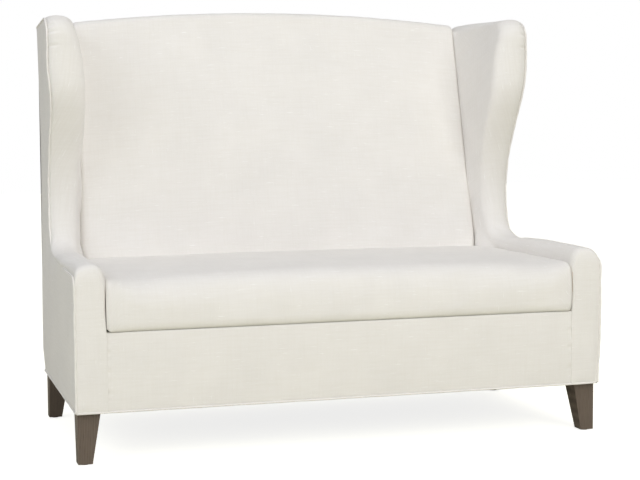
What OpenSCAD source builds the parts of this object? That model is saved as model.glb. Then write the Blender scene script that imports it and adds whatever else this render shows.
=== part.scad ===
// High-back settee on four tapered legs, with wings that run down into low arms.
// X runs along the seat, the front faces -Y, and Z is up from the floor.
// Side-view points are [back, up], measured back from the front plane of the seat.

/* [Overall] */
// Width over the welts of the two outside panels
overall_w = 1524; // [1300:2:1900]
// Height to the top of the arched back
overall_h = 1257; // [1100:1:1400]
// How far the outside back leans out between its foot and its top
back_lean = 156; // [120:1:190]
// Height of the legs, which is the height of the underside
leg_h = 140; // [100:1:160]

/* [Seat] */
// Height of the seat at the crease with the back
seat_h = 495; // [440:1:540]
// Depth of the seat from its nose to the crease
seat_depth = 622; // [560:1:740]
// Thickness of the seat pad from the seam at its front to its top
seat_pad_t = 138; // [110:1:160]
// How far the middle of the seat stands above its ends
seat_crown = 10; // [0:1:18]
// Depth of the rounded nose at the front of the seat
seat_nose = 92; // [60:1:110]
// Radius that rounds the two ends of the seat pad
seat_end_r = 12; // [8:1:40]

/* [Arms and wings] */
// Width of the arm
arm_w = 88; // [76:1:100]
// Height of the arm's welt above the seat
arm_over = 11; // [0:1:40]
// How much the welt rises from the front of the arm to the scoop
arm_rise = 7; // [0:1:14]
// Length of the sweep from the level of the arm to the waist of the wing
scoop_run = 150; // [130:1:240]
// Radius of the welt at the top front corner of the arm
arm_corner_r = 24; // [20:1:40]
// Radius that eases the front edge of the arm
arm_front_r = 14; // [6:1:20]
// How far the padding of the wing swells past the welt
roll_swell = 17; // [8:1:22]
// How far the rounded top of the arm swells past the welt
arm_swell = 25; // [16:1:30]
// How far the waist of the wing lies in front of the crease of the seat
waist_set = 2; // [0:1:10]
// Height of the waist above the arm's welt
waist_rise = 159; // [120:1:200]
// How far the upright edge of the wing stands in front of the waist
wing_reach = 125; // [90:1:150]
// Length of the upright edge, from the top of the wing down
wing_upright = 186; // [150:1:230]
// How far the wing's top welt lies below the top of the back
wing_drop = 41; // [38:1:70]
// Radius of the top front corner of the wing
wing_tip_r = 60; // [40:1:80]
// How much thicker than the arm the wing is at its front roll
wing_swell = 17; // [6:1:22]
// Width of the wing along its top, where its roll narrows
wing_top_w = 84; // [70:1:100]
// How much thicker than the arm the wing is where it meets the back pad
crease_swell = 36; // [26:1:50]

/* [Back] */
// Thickness of the back between the crease of the seat and the foot of the outside back
back_foot_t = 98; // [85:1:130]
// Thickness of the back at its top
back_top_t = 57; // [52:1:80]
// How far the middle of the arched top stands above its ends
arch_rise = 36; // [24:1:60]
// How far the middle of the back pad stands forward
back_crown = 16; // [0:1:22]
// Radius of the front edge along the top of the back pad
back_top_r = 27; // [15:1:32]
// Radius that eases the two ends of the back pad
back_end_r = 16; // [8:1:24]

/* [Legs] */
// Width of a leg at the top
leg_top_w = 62; // [50:1:66]
// Width of a leg at the foot
leg_foot_w = 39; // [30:1:48]
// Distance from the side of the base to the leg
leg_side_inset = 8; // [4:1:14]
// Distance from the front or the back of the base to the leg
leg_end_inset = 16; // [10:1:30]
// Thickness of the glide under a leg
glide_t = 3; // [2:0.5:5]
// Diameter of the glide
glide_d = 24; // [16:1:28]
// Diameter of the bolt that holds a leg
leg_bolt_d = 8; // [6:1:10]
// Depth of the bolt in the leg
leg_bolt_in = 45; // [30:1:60]

/* [Timber frame] */
// Thickness of the plywood side frames
ply_t = 18; // [15:1:22]
// How far the edge of a side frame lies inside the welt
ply_inset = 20; // [16:1:24]
// Thickness of the seat rails, back rails and posts
rail_t = 25; // [20:1:27]
// Height of the arched top rail of the back at its ends
top_rail_h = 95; // [70:1:120]
// Height of the lower rail of the back
low_rail_h = 62; // [50:1:80]
// Width of the back posts
post_w = 58; // [45:1:70]
// Thickness of the board along the top of the arm
arm_board_t = 18; // [15:1:22]
// Diameter of the dowels
dowel_d = 10; // [8:1:12]

/* [Springs and webbing] */
// Number of sinuous springs
spring_count = 7; // [5:1:9]
// Wire diameter of the springs
wire_d = 4; // [3:0.5:4.5]
// Width of a spring over its bends
spring_w = 52; // [40:1:60]
// Number of bars across each spring
spring_bars = 25; // [21:2:29]
// How far the middle of the springs stands above the rails
spring_rise = 7; // [4:1:10]
// Width of a webbing strap
web_w = 50; // [40:1:60]
// Number of upright straps
web_upright_count = 10; // [6:1:14]
// Number of level straps
web_level_count = 5; // [3:1:6]

/* [Covers] */
// Thickness of the outside back and the front border
cover_t = 3; // [2:0.5:4]
// Thickness of an outside panel with the wadding behind it
side_cover_t = 14; // [10:1:18]
// Diameter of the welts
welt_d = 6; // [5:0.5:8]
// Space left between soft pieces that lie against each other
soft_gap = 0.3; // [0.2:0.1:0.6]

/* [Hidden] */
$fn = 32;

linen = [0.92, 0.90, 0.86];
timber = [0.80, 0.66, 0.46];
birch = [0.86, 0.76, 0.58];
grey_oak = [0.42, 0.35, 0.30];
steel = [0.62, 0.63, 0.65];
cambric = [0.16, 0.16, 0.17];

// Depths from the front plane, and heights, that follow from the sizes above
base_d = seat_depth + back_foot_t;
overall_d = base_d + back_lean;
seat_seam_h = seat_h - seat_pad_t;
arm_edge_h = seat_h + arm_over;
arm_run = seat_depth - waist_set - scoop_run;
waist_back = seat_depth - waist_set;
waist_h = arm_edge_h + waist_rise;
wing_front = waist_back - wing_reach;
wing_edge_h = overall_h - wing_drop;
wing_straight_h = wing_edge_h - wing_upright;
wing_w = arm_w + wing_swell;
crease_w = arm_w + crease_swell;

// Clips, springs and deck cloth lie between the seat rails and the seam of the pad
clip_t = 1.5;
deck_t = 2;
seat_stack = 2 * clip_t + wire_d + deck_t + spring_rise + 4 * soft_gap;
rail_top_h = seat_seam_h - seat_stack;

// Planes and levels that several pieces share
front_y = -overall_d / 2;
half_w = overall_w / 2;
seat_proud = 6;
sheet_t = 1.5;
frame_z = leg_h + sheet_t;
cover_low = leg_h + welt_d;
welt_r = welt_d / 2;
welt_proud = welt_d - cover_t;
cover_in = welt_proud + side_cover_t;
ply_in = cover_in + ply_t;
post_gap = 4;
rail_front = seat_proud + cover_t;
rail_back = rail_front + rail_t;
post_in = arm_w - post_gap;
side_rail_in = post_in - rail_t;
seat_half = half_w - arm_w - soft_gap;
slope = back_lean / (overall_h - leg_h);
slope_a = atan(slope);
rake = (overall_d - back_top_t - seat_depth) / (overall_h - seat_h);
cut = 1;

// Outside of the back, and the crease between back and wing, at a height
function back_line(z) = base_d + slope * (z - leg_h);
function crease(z) = seat_depth + (z - seat_h) * rake;
// Height of the arched top of the back pad
arch_half = half_w - crease_w;
arch_r = (arch_half * arch_half + arch_rise * arch_rise) / (2 * arch_rise);
function arch(x) = overall_h - arch_r + sqrt(arch_r * arch_r - x * x);

// Curves: a Bezier point, its direction, and an arc
function bez(p, t) =
    p[0] * pow(1 - t, 3) + p[1] * 3 * t * pow(1 - t, 2) + p[2] * 3 * t * t * (1 - t) + p[3] * pow(t, 3);
function unit(v) = v / norm(v);
function bez_dir(p, t) =
    unit((p[1] - p[0]) * pow(1 - t, 2) + (p[2] - p[1]) * 2 * t * (1 - t) + (p[3] - p[2]) * t * t);
function bez_in(p, t, g) = bez(p, t) + g * [bez_dir(p, t).y, -bez_dir(p, t).x];
function arc(c, r, from, to, n) =
    [for (i = [0:n]) c + r * [cos(from + (to - from) * i / n), sin(from + (to - from) * i / n)]];
least_r = 1;
function inner_r(r, g) = max(r - g, least_r);

// Edge of arm and wing in side view, from the arm's front corner to the top of the back
scoop_h = arm_edge_h + arm_rise;
scoop = [
    [arm_run, scoop_h],
    [arm_run + (waist_back - arm_run) * 0.55, scoop_h + arm_rise],
    [waist_back, scoop_h + (waist_h - scoop_h) * 0.21],
    [waist_back, waist_h]
];
wing_sweep = [
    [waist_back, waist_h],
    [waist_back, waist_h + (wing_straight_h - waist_h) * 0.5],
    [wing_front, waist_h + (wing_straight_h - waist_h) * 0.72],
    [wing_front, wing_straight_h]
];
scoop_steps = 9;
sweep_steps = 10;
corner_steps = 5;
arm_corner = [seat_proud + arm_corner_r, arm_edge_h - arm_corner_r];
tip = [wing_front + wing_tip_r, wing_edge_h - wing_tip_r];
function edge(g) = concat(
    arc(arm_corner, inner_r(arm_corner_r, g), 180, 90, corner_steps),
    [for (i = [0:scoop_steps]) bez_in(scoop, i / scoop_steps, g)],
    [for (i = [1:sweep_steps]) bez_in(wing_sweep, i / sweep_steps, g)],
    arc(tip, inner_r(wing_tip_r, g), 180, 90, corner_steps)
);
// Closed outline of a side piece, g inside the welt and b inside the outside back
function side_outline(g, b, bottom) = concat(
    [[seat_proud + g, bottom]],
    edge(g),
    [[back_line(wing_edge_h - g) - b, wing_edge_h - g], [back_line(bottom) - b, bottom]]
);

// Faces of a closed skin through rings of n points each, with flat end caps
function skin_faces(rings, n) = concat(
    [[for (j = [0:n - 1]) j]],
    [for (i = [0:rings - 2], j = [0:n - 1]) [i * n + j, (i + 1) * n + j, (i + 1) * n + (j + 1) % n]],
    [for (i = [0:rings - 2], j = [0:n - 1]) [i * n + j, (i + 1) * n + (j + 1) % n, i * n + (j + 1) % n]],
    [[for (j = [n - 1:-1:0]) (rings - 1) * n + j]]
);
module skin(rings) {
    n = len(rings[0]);
    polyhedron([for (r = rings) each r], skin_faces(len(rings), n), convexity = 8);
}

// Rings of a round rod along points, each ring square to the run there
function run_dir(p, i) = unit(p[min(i + 1, len(p) - 1)] - p[max(i - 1, 0)]);
function rod_ring(c, d, up, r, sides) =
    let (a = unit(cross(d, up)), b = cross(a, d))
    [for (k = [0:sides - 1]) c + r * (a * cos(360 * k / sides) + b * sin(360 * k / sides))];
module rod(points, up, r, sides) {
    skin([for (i = [0:len(points) - 1]) rod_ring(points[i], run_dir(points, i), up, r, sides)]);
}

// Places a child drawn in side view, as a slab from depth a to depth b inside the left side
module left_slab(a, b) {
    translate([-half_w + a, front_y, 0])
        rotate([90, 0, 90])
            linear_extrude(b - a)
                children();
}
module mirrored() {
    mirror([1, 0, 0])
        children();
}
// A block given by its depth inside the left side, its distance back and its height
module left_block(a, b, from, to, low, high) {
    translate([-half_w + a, front_y + from, low])
        cube([b - a, to - from, high - low]);
}
module both_sides() {
    children();
    mirrored()
        children();
}
// Plane of the outside back: x across, z up the slope, and y forward of it is negative
module back_plane() {
    translate([0, front_y + base_d, leg_h])
        rotate([-slope_a, 0, 0])
            children();
}
function up_slope(z) = (z - leg_h) / cos(slope_a);
// A board in that plane, between two depths in front of the outside back
module back_board(near, far) {
    back_plane()
        translate([0, -near, 0])
            rotate([90, 0, 0])
                linear_extrude(far - near)
                    children();
}

// Dowel joints, as pins and as the holes that take them
dowel_fit = 0.1;
dowel_skin = 3;
function dowel_r(hole) = dowel_d / 2 + (hole ? dowel_fit : 0);
function dowel_half(hole) = rail_t - dowel_skin + (hole ? cut : 0);
module dowel(hole) {
    cylinder(r = dowel_r(hole), h = 2 * dowel_half(hole), center = true);
}
rail_mid = (rail_front + rail_back) / 2;
front_rail_low = frame_z;
front_rail_h = rail_top_h - front_rail_low;
front_dowel_shares = [0.2, 0.8];
module front_rail_dowels(hole) {
    for (share = front_dowel_shares)
        both_sides()
            translate([-half_w + post_in, front_y + rail_mid, front_rail_low + front_rail_h * share])
                rotate([0, 90, 0])
                    dowel(hole);
}
side_rail_share = 0.755;
side_rail_h = front_rail_h * side_rail_share;
side_rail_low = rail_top_h - side_rail_h;
side_dowel_shares = [0.13, 0.6];
side_rail_mid = (side_rail_in + post_in) / 2;
module side_rail_dowels(hole) {
    for (share = side_dowel_shares)
        both_sides()
            translate([-half_w + side_rail_mid, front_y + rail_back, side_rail_low + side_rail_h * share])
                rotate([90, 0, 0])
                    dowel(hole);
}
back_near = cover_t;
back_far = cover_t + rail_t;
back_mid = (back_near + back_far) / 2;
low_rail_top = seat_h + low_rail_h;
top_rail_low = wing_edge_h - ply_inset - top_rail_h;
back_dowel_levels = [
    front_rail_low + front_rail_h * front_dowel_shares[0],
    front_rail_low + front_rail_h * front_dowel_shares[1],
    seat_h + low_rail_h / 2,
    top_rail_low + 2 * dowel_d,
    wing_edge_h - ply_inset - 2 * dowel_d
];
back_dowel_skin = 2;
back_dowel_l = 2 * (ply_t - back_dowel_skin);
module back_dowels(hole) {
    for (z = back_dowel_levels)
        both_sides()
            back_plane()
                translate([-half_w + ply_in, -back_mid, up_slope(z)])
                    rotate([0, 90, 0])
                        cylinder(r = dowel_r(hole), h = back_dowel_l + (hole ? 2 * cut : 0), center = true);
}

// Plywood side frame with its lightening windows
window_margin = 46;
window_low = frame_z + window_margin;
wing_window_h = waist_h + (wing_edge_h - waist_h) * 0.22;
wing_window_turn = waist_h + (wing_edge_h - waist_h) * 0.58;
wing_window_top = wing_edge_h - 2 * window_margin;
window_corner = 26;
window_r = min(window_corner, (wing_window_top - wing_window_turn) * 0.4);
wing_window_front = wing_front + 2 * window_margin;
wing_window = [
    [waist_back + window_margin, wing_window_h],
    [back_line(wing_window_h) - window_margin, wing_window_h],
    [back_line(wing_window_top) - window_margin, wing_window_top],
    [wing_window_front, wing_window_top],
    [wing_window_front, wing_window_turn]
];
arm_window_top = arm_edge_h - ply_inset - window_margin;
arm_window_0 = rail_back + window_margin;
arm_window_l = (waist_back - window_margin / 2 - arm_window_0 - window_margin) / 2;
function arm_window(i) =
    let (from = arm_window_0 + i * (arm_window_l + window_margin), to = from + arm_window_l)
    [[from, window_low], [to, window_low], [to, arm_window_top], [from, arm_window_top]];
// A window with each corner turned through an arc
module window(points) {
    n = len(points);
    polygon([
        for (i = [0:n - 1])
            let (
                p = points[i],
                a = unit(points[(i + n - 1) % n] - p),
                b = unit(points[(i + 1) % n] - p),
                half = acos(a * b) / 2,
                reach = window_r / tan(half),
                c = p + unit(a + b) * window_r / sin(half),
                s = p + a * reach - c,
                e = p + b * reach - c
            )
            for (k = [0:corner_steps])
                let (w = k / corner_steps, v = s * (1 - w) + e * w)
                c + window_r * unit(v)
    ]);
}
module side_frame() {
    color(birch)
        difference() {
            left_slab(cover_in, ply_in)
                difference() {
                    polygon(side_outline(ply_inset, cover_t / cos(slope_a), frame_z));
                    window(arm_window(0));
                    window(arm_window(1));
                    window(wing_window);
                }
            back_dowels(true);
        }
}
module side_frame_left() {
    side_frame();
}
module side_frame_right() {
    mirrored()
        side_frame();
}

// Post behind the front face of the arm, and the board along the arm's top
post_top = arm_edge_h - ply_inset - arm_board_t;
arm_board_in = arm_w - roll_swell - cut;
arm_board_back = arm_run + (waist_back - arm_run) * 0.4;
module arm_front_post() {
    color(timber)
        difference() {
            left_block(ply_in, post_in, rail_front, rail_back, frame_z, post_top);
            front_rail_dowels(true);
            side_rail_dowels(true);
        }
}
module arm_front_post_left() {
    arm_front_post();
}
module arm_front_post_right() {
    mirrored()
        arm_front_post();
}
module arm_board_block() {
    left_block(
        ply_in, arm_board_in, rail_front + arm_front_r, arm_board_back,
        post_top, post_top + arm_board_t
    );
}
module arm_board_left() {
    color(timber)
        arm_board_block();
}
module arm_board_right() {
    color(timber)
        mirrored()
            arm_board_block();
}

// Rails of the seat
module front_seat_rail() {
    color(timber)
        difference() {
            translate([-half_w + post_in, front_y + rail_front, front_rail_low])
                cube([2 * (half_w - post_in), rail_t, rail_top_h - front_rail_low]);
            front_rail_dowels(true);
        }
}
// The sloping seat rail at the back is trimmed level, at the height of the front rail
module level_slab(low, high) {
    translate([-half_w, front_y, low])
        cube([overall_w, overall_d, high - low]);
}
module back_seat_rail() {
    color(timber)
        difference() {
            intersection() {
                back_board(back_near, back_far)
                    translate([-half_w + ply_in, 0])
                        square([2 * (half_w - ply_in), up_slope(seat_h)]);
                level_slab(cover_low, rail_top_h);
            }
            back_dowels(true);
        }
}
rear_rail_face = back_line(rail_top_h) - back_far / cos(slope_a);
module behind_rail_face() {
    back_plane()
        translate([-half_w, -back_far, -leg_h])
            cube([overall_w, overall_d, overall_h]);
}
module side_seat_rail() {
    color(timber)
        difference() {
            left_block(side_rail_in, post_in, rail_back, rear_rail_face, side_rail_low, rail_top_h);
            side_rail_dowels(true);
            behind_rail_face();
        }
}
module side_seat_rail_left() {
    side_seat_rail();
}
module side_seat_rail_right() {
    mirrored()
        side_seat_rail();
}
stretcher_x = overall_w / 6;
stretcher_h = 70;
module seat_stretchers() {
    color(timber)
        difference() {
            both_sides()
                translate([-stretcher_x - rail_t / 2, front_y + rail_back, side_rail_low])
                    cube([rail_t, rear_rail_face - rail_back, stretcher_h]);
            behind_rail_face();
        }
}

// Legs, and the blocks, bolts and nuts that hold them
leg_block_l = 80;
leg_block_h = 46;
leg_mid_in = (ply_in + side_rail_in) / 2;
front_leg_mid = seat_proud + leg_end_inset + leg_top_w / 2;
rear_leg_mid = base_d - leg_end_inset - leg_top_w / 2;
bolt_fit = 0.5;
module at_legs() {
    for (back = [front_leg_mid, rear_leg_mid])
        both_sides()
            translate([-half_w + leg_mid_in, front_y + back, 0])
                children();
}
nut_barrel_d = leg_bolt_d + 2;
nut_barrel_l = 12;
nut_flange_d = 2 * leg_bolt_d;
nut_flange_t = 2;
module leg_blocks() {
    block_top = frame_z + leg_block_h;
    rear = back_line(cover_low) - back_far / cos(slope_a);
    color(timber)
        difference() {
            both_sides() {
                left_block(ply_in, side_rail_in, rail_back, rail_back + leg_block_l, frame_z, block_top);
                left_block(ply_in, side_rail_in, rear - leg_block_l, rear, frame_z, block_top);
            }
            at_legs() {
                cylinder(d = leg_bolt_d + bolt_fit, h = block_top + cut);
                translate([0, 0, block_top - nut_barrel_l])
                    cylinder(d = nut_barrel_d + bolt_fit, h = nut_barrel_l + cut);
            }
        }
}
bolt_top = frame_z + leg_block_h + nut_flange_t;
module leg_hanger_bolts() {
    color(steel)
        at_legs()
            translate([0, 0, leg_h - leg_bolt_in])
                cylinder(d = leg_bolt_d, h = bolt_top - leg_h + leg_bolt_in);
}
module leg_tee_nuts() {
    color(steel)
        at_legs()
            translate([0, 0, frame_z + leg_block_h])
                difference() {
                    union() {
                        cylinder(d = nut_flange_d, h = nut_flange_t);
                        translate([0, 0, -nut_barrel_l])
                            cylinder(d = nut_barrel_d, h = nut_barrel_l);
                    }
                    translate([0, 0, -nut_barrel_l - cut])
                        cylinder(d = leg_bolt_d + dowel_fit, h = nut_barrel_l + nut_flange_t + 2 * cut);
                }
}
// The two outer faces of a leg are upright and the two inner faces taper
function leg_side() = [
    [0, glide_t], [leg_foot_w, glide_t], [leg_top_w, leg_h], [0, leg_h]
];
module leg_shape() {
    intersection() {
        rotate([90, 0, 0])
            translate([0, 0, -leg_top_w])
                linear_extrude(leg_top_w)
                    polygon(leg_side());
        rotate([90, 0, 90])
            linear_extrude(leg_top_w)
                polygon(leg_side());
    }
}
glide_pin_d = 3;
glide_pin_l = 12;
module leg_left(outer_back, turn) {
    color(grey_oak)
        translate([-half_w + leg_side_inset, front_y + outer_back, 0])
            difference() {
                mirror([0, turn < 0 ? 1 : 0, 0])
                    leg_shape();
                translate([leg_mid_in - leg_side_inset, turn * leg_top_w / 2, leg_h - leg_bolt_in])
                    cylinder(d = leg_bolt_d + dowel_fit, h = leg_bolt_in + cut);
                translate([leg_foot_w / 2, turn * leg_foot_w / 2, 0])
                    cylinder(d = glide_pin_d + dowel_fit, h = glide_t + glide_pin_l);
            }
}
module leg_front_left() {
    leg_left(seat_proud + leg_end_inset, 1);
}
module leg_front_right() {
    mirrored()
        leg_left(seat_proud + leg_end_inset, 1);
}
module leg_rear_left() {
    leg_left(base_d - leg_end_inset, -1);
}
module leg_rear_right() {
    mirrored()
        leg_left(base_d - leg_end_inset, -1);
}
module leg_glides() {
    foot_in = leg_side_inset + leg_foot_w / 2;
    foot_ends = [
        seat_proud + leg_end_inset + leg_foot_w / 2,
        base_d - leg_end_inset - leg_foot_w / 2
    ];
    color(cambric)
        for (back = foot_ends)
            both_sides()
                translate([-half_w + foot_in, front_y + back, 0]) {
                    cylinder(d = glide_d, h = glide_t);
                    cylinder(d = glide_pin_d, h = glide_t + glide_pin_l - cut);
                }
}

// Frame of the back, in the plane of the outside back
function arch_low(x, drop) = up_slope(abs(x) < arch_half ? arch(x) - drop : arch(arch_half) - drop);
arch_steps = 24;
module back_top_rail() {
    end_x = half_w - ply_in;
    low = up_slope(top_rail_low);
    high = up_slope(wing_edge_h - ply_inset);
    color(timber)
        difference() {
            back_board(back_near, back_far)
                polygon(concat(
                    [[-end_x, low], [end_x, low], [end_x, high], [arch_half, high]],
                    [for (i = [0:arch_steps]) let (x = arch_half * (1 - 2 * i / arch_steps))
                        [x, arch_low(x, ply_inset)]],
                    [[-arch_half, high], [-end_x, high]]
                ));
            back_dowels(true);
        }
}
module back_lower_rail() {
    color(timber)
        difference() {
            back_board(back_near, back_far)
                translate([-half_w + ply_in, up_slope(seat_h)])
                    square([2 * (half_w - ply_in), up_slope(low_rail_top) - up_slope(seat_h)]);
            back_dowels(true);
        }
}
module back_posts() {
    outer_x = half_w - ply_in - post_w / 2;
    inner_x = spring_step * (spring_count % 2 == 1 ? 1.5 : 1);
    color(timber)
        for (x = [-outer_x, -inner_x, inner_x, outer_x]) {
            intersection() {
                back_board(back_near, back_far)
                    translate([x - post_w / 2, 0])
                        square([post_w, up_slope(seat_h)]);
                level_slab(rail_top_h, overall_h);
            }
            back_board(back_near, back_far)
                translate([x - post_w / 2, up_slope(low_rail_top)])
                    square([post_w, up_slope(top_rail_low) - up_slope(low_rail_top)]);
        }
}
module frame_dowels() {
    color(birch) {
        front_rail_dowels(false);
        side_rail_dowels(false);
        back_dowels(false);
    }
}

// Sinuous springs, hooked into clips on the front and back rails
clip_w = 20;
clip_l = 16;
wire_r = wire_d / 2;
spring_z = rail_top_h + clip_t + wire_r + soft_gap;
spring_front = rail_mid;
spring_back = back_line(rail_top_h) - back_mid / cos(slope_a);
spring_pitch = (spring_back - spring_front) / (spring_bars - 1);
spring_step = (2 * (half_w - arm_w) - spring_w) / spring_count;
function deck_rise(d) = spring_rise * sin(180 * (d - spring_front) / (spring_back - spring_front));
function spring_at(i) = (i - (spring_count - 1) / 2) * spring_step;
bend_r = spring_pitch * 0.44;
// Each bar turns into the next through one bend of three points
function spring_points() = concat(
    [[-(spring_w / 2 - wire_r), spring_front]],
    [for (b = [0:spring_bars - 2])
        let (side = b % 2 == 0 ? 1 : -1, out = side * (spring_w / 2 - wire_r))
        each [
            [out - side * bend_r, spring_front + b * spring_pitch],
            [out, spring_front + (b + 0.5) * spring_pitch],
            [out - side * bend_r, spring_front + (b + 1) * spring_pitch]
        ]],
    [[(spring_bars % 2 == 0 ? -1 : 1) * (spring_w / 2 - wire_r), spring_back]]
);
module seat_spring(x) {
    rod(
        [for (p = spring_points()) [x + p.x, front_y + p.y, spring_z + deck_rise(p.y)]],
        [0, 0, 1], wire_r, 6
    );
}
module seat_springs() {
    color(steel)
        for (i = [0:spring_count - 1])
            seat_spring(spring_at(i));
}
module clip_shape() {
    difference() {
        union() {
            translate([-clip_l / 2, 0])
                square([clip_l, clip_t]);
            translate([0, clip_t + wire_r + soft_gap])
                circle(r = wire_r + soft_gap + clip_t);
        }
        translate([0, clip_t + wire_r + soft_gap])
            circle(r = wire_r + soft_gap);
        translate([0, clip_t + wire_r])
            square([clip_l, wire_r]);
        translate([-clip_l, -clip_l])
            square([2 * clip_l, clip_l]);
    }
}
module spring_clips() {
    color(steel)
        for (i = [0:spring_count - 1], end = [[spring_front, 0], [spring_back, 1]])
            translate([spring_at(i) - clip_w / 2, front_y + end[0], rail_top_h])
                rotate([90, 0, 90])
                    linear_extrude(clip_w)
                        mirror([end[1], 0])
                            clip_shape();
}
tie_d = 3;
tie_shares = [0.33, 0.67];
module spring_tie_rods() {
    reach = spring_at(spring_count - 1) + spring_w / 2;
    color(steel)
        for (share = tie_shares)
            let (d = spring_front + share * (spring_back - spring_front))
            translate([-reach, front_y + d, spring_z + deck_rise(d) - wire_r - tie_d / 2 - soft_gap])
                rotate([0, 90, 0])
                    cylinder(d = tie_d, h = 2 * reach);
}
// Cloth over the springs, and the foam roll along the front rail
deck_low = spring_z + wire_r + clip_t + 2 * soft_gap;
deck_steps = 16;
deck_end = back_line(rail_top_h) - back_far / cos(slope_a) - soft_gap;
function deck_curve(lift) =
    [for (i = [0:deck_steps]) let (d = rail_front + (deck_end - rail_front) * i / deck_steps)
        [d, deck_low + lift + max(0, deck_rise(d))]];
module seat_deck_cloth() {
    color(cambric)
        translate([-seat_half, front_y, 0])
            rotate([90, 0, 90])
                linear_extrude(2 * seat_half)
                    polygon(concat(deck_curve(0), [for (i = [deck_steps:-1:0]) deck_curve(deck_t)[i]]));
}
deck_top = deck_low + deck_t;
roll_low = deck_top + spring_rise * 0.12;
module front_edge_roll() {
    color(linen)
        translate([-seat_half, front_y, 0])
            rotate([90, 0, 90])
                linear_extrude(2 * seat_half)
                    polygon([
                        [rail_front, roll_low], [rail_back, roll_low],
                        [rail_back, seat_seam_h - soft_gap], [rail_front, seat_seam_h - soft_gap]
                    ]);
}

// Webbing across the front of the back frame
web_t = 1.5;
web_span = 2 * (half_w - crease_w);
module back_webbing_upright() {
    color(cambric)
        for (i = [0:web_upright_count - 1])
            back_board(back_far, back_far + web_t)
                translate([web_span * ((i + 0.5) / web_upright_count - 0.5) - web_w / 2, up_slope(seat_h)])
                    square([web_w, up_slope(wing_edge_h - ply_inset) - up_slope(seat_h)]);
}
module back_webbing_level() {
    gap = (top_rail_low - low_rail_top) / web_level_count;
    color(cambric)
        for (i = [0:web_level_count - 1])
            back_board(back_far + web_t, back_far + 2 * web_t)
                translate([-half_w + ply_in, up_slope(low_rail_top + gap * (i + 0.5)) - web_w / 2])
                    square([2 * (half_w - ply_in), web_w]);
}

// Seat pad: rounded nose, a crown along its length, and ends that are drawn down
nose_shares = [
    [0.10, 0], [0.02, 0.14], [0, 0.32], [0.02, 0.50], [0.09, 0.66], [0.24, 0.82], [0.50, 0.93], [1, 0.985]
];
top_shares = [0.2, 0.45, 0.7, 0.9];
end_shares = [0, 0.006, 0.016, 0.03, 0.06, 0.14, 0.28, 0.42, 0.5];
taper_from = seat_depth - 3 * (crease_w - arm_w);
taper_w = crease_w - arm_w + post_gap;
function ease(gap, r) = gap >= r ? 0 : r - sqrt(r * r - pow(r - gap, 2));
function seat_ring(x) =
    let (
        gap = seat_half - abs(x),
        drop = ease(gap, seat_end_r),
        full = 1 - pow(x / seat_half, 2),
        h = seat_h - seat_seam_h,
        widest = taper_from + (seat_depth - taper_from) * (gap + cut) / taper_w,
        rear = min(seat_depth, widest) - soft_gap
    )
    concat(
        [for (p = nose_shares)
            let (rise = h - drop + seat_crown * full * p.y)
            [x, front_y + drop + p.x * seat_nose, seat_seam_h + p.y * rise]],
        [for (s = top_shares)
            let (crown = seat_crown * full * (sin(90 + 60 * s) + sin(180 * s) / 3))
            [x, front_y + seat_nose + (rear - seat_nose) * s, seat_h - drop + crown]],
        [[x, front_y + rear, seat_h - drop]],
        [[x, front_y + rear - rake * (h - drop), seat_seam_h]]
    );
function ends_in(half) = concat(
    [for (s = end_shares) -half + 2 * half * s],
    [for (i = [len(end_shares) - 2:-1:0]) half - 2 * half * end_shares[i]]
);
module seat_pad() {
    color(linen)
        skin([for (x = ends_in(seat_half)) seat_ring(x)]);
}

// Back pad: raked, crowned, and rolled over the arched top rail
back_half = half_w - crease_w - soft_gap;
back_low = seat_seam_h;
pad_back = (back_far + 2 * web_t + soft_gap) / cos(slope_a);
wrap_back = (cover_t + soft_gap) / cos(slope_a);
// The top of the sloping rail stands higher at its front edge
rail_tilt = back_far * sin(slope_a) + 2 * cut;
face_shares = [0, 0.14, 0.32, 0.52, 0.72, 0.88, 1];
function back_ring(x) =
    let (
        drop = ease(back_half - abs(x), back_end_r),
        full = 1 - pow(x / back_half, 4),
        top = arch(x) - min(drop, (ply_inset - rail_tilt) * 0.6),
        knee = top - back_top_r,
        sill = seat_h + seat_crown,
        rail = arch(min(abs(x), arch_half)) - ply_inset + rail_tilt
    )
    concat(
        [[x, front_y + crease(back_low) + drop, back_low]],
        [for (s = face_shares)
            let (z = sill + (knee - sill) * s)
            [x, front_y + crease(z) + drop - back_crown * full * sin(180 * s), z]],
        [for (a = [30, 60])
            [x, front_y + crease(knee) + drop + back_top_r * (1 - cos(a)), knee + back_top_r * sin(a)]],
        [[x, front_y + crease(knee) + drop + back_top_r, top]],
        [[x, front_y + back_line(top) - wrap_back - welt_r, top - welt_r / 2]],
        [[x, front_y + back_line(rail) - wrap_back, rail + welt_r]],
        [[x, front_y + back_line(rail) - wrap_back, rail + soft_gap]],
        [[x, front_y + back_line(rail) - pad_back, rail + soft_gap]],
        [[x, front_y + back_line(back_low) - pad_back, back_low]]
    );
module back_pad() {
    color(linen)
        skin([for (x = ends_in(back_half)) back_ring(x)]);
}

// Padding of arm and wing: sections that run from the welt to the hidden side
// A section swells past the welt, turns over the roll and runs along the inside
hidden_low = seat_seam_h;
hidden_gap = back_far + 2 * web_t + soft_gap;
arm_back_shares = [0, 0.07, 0.21, 0.43, 0.71, 0.93];
function arm_edge_at(d) =
    d < arm_corner_r
        ? arm_edge_h - arm_corner_r + sqrt(pow(arm_corner_r, 2) - pow(arm_corner_r - d, 2))
        : arm_edge_h + arm_rise * max(0, d - arm_corner_r) / (arm_run - arm_corner_r);
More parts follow.
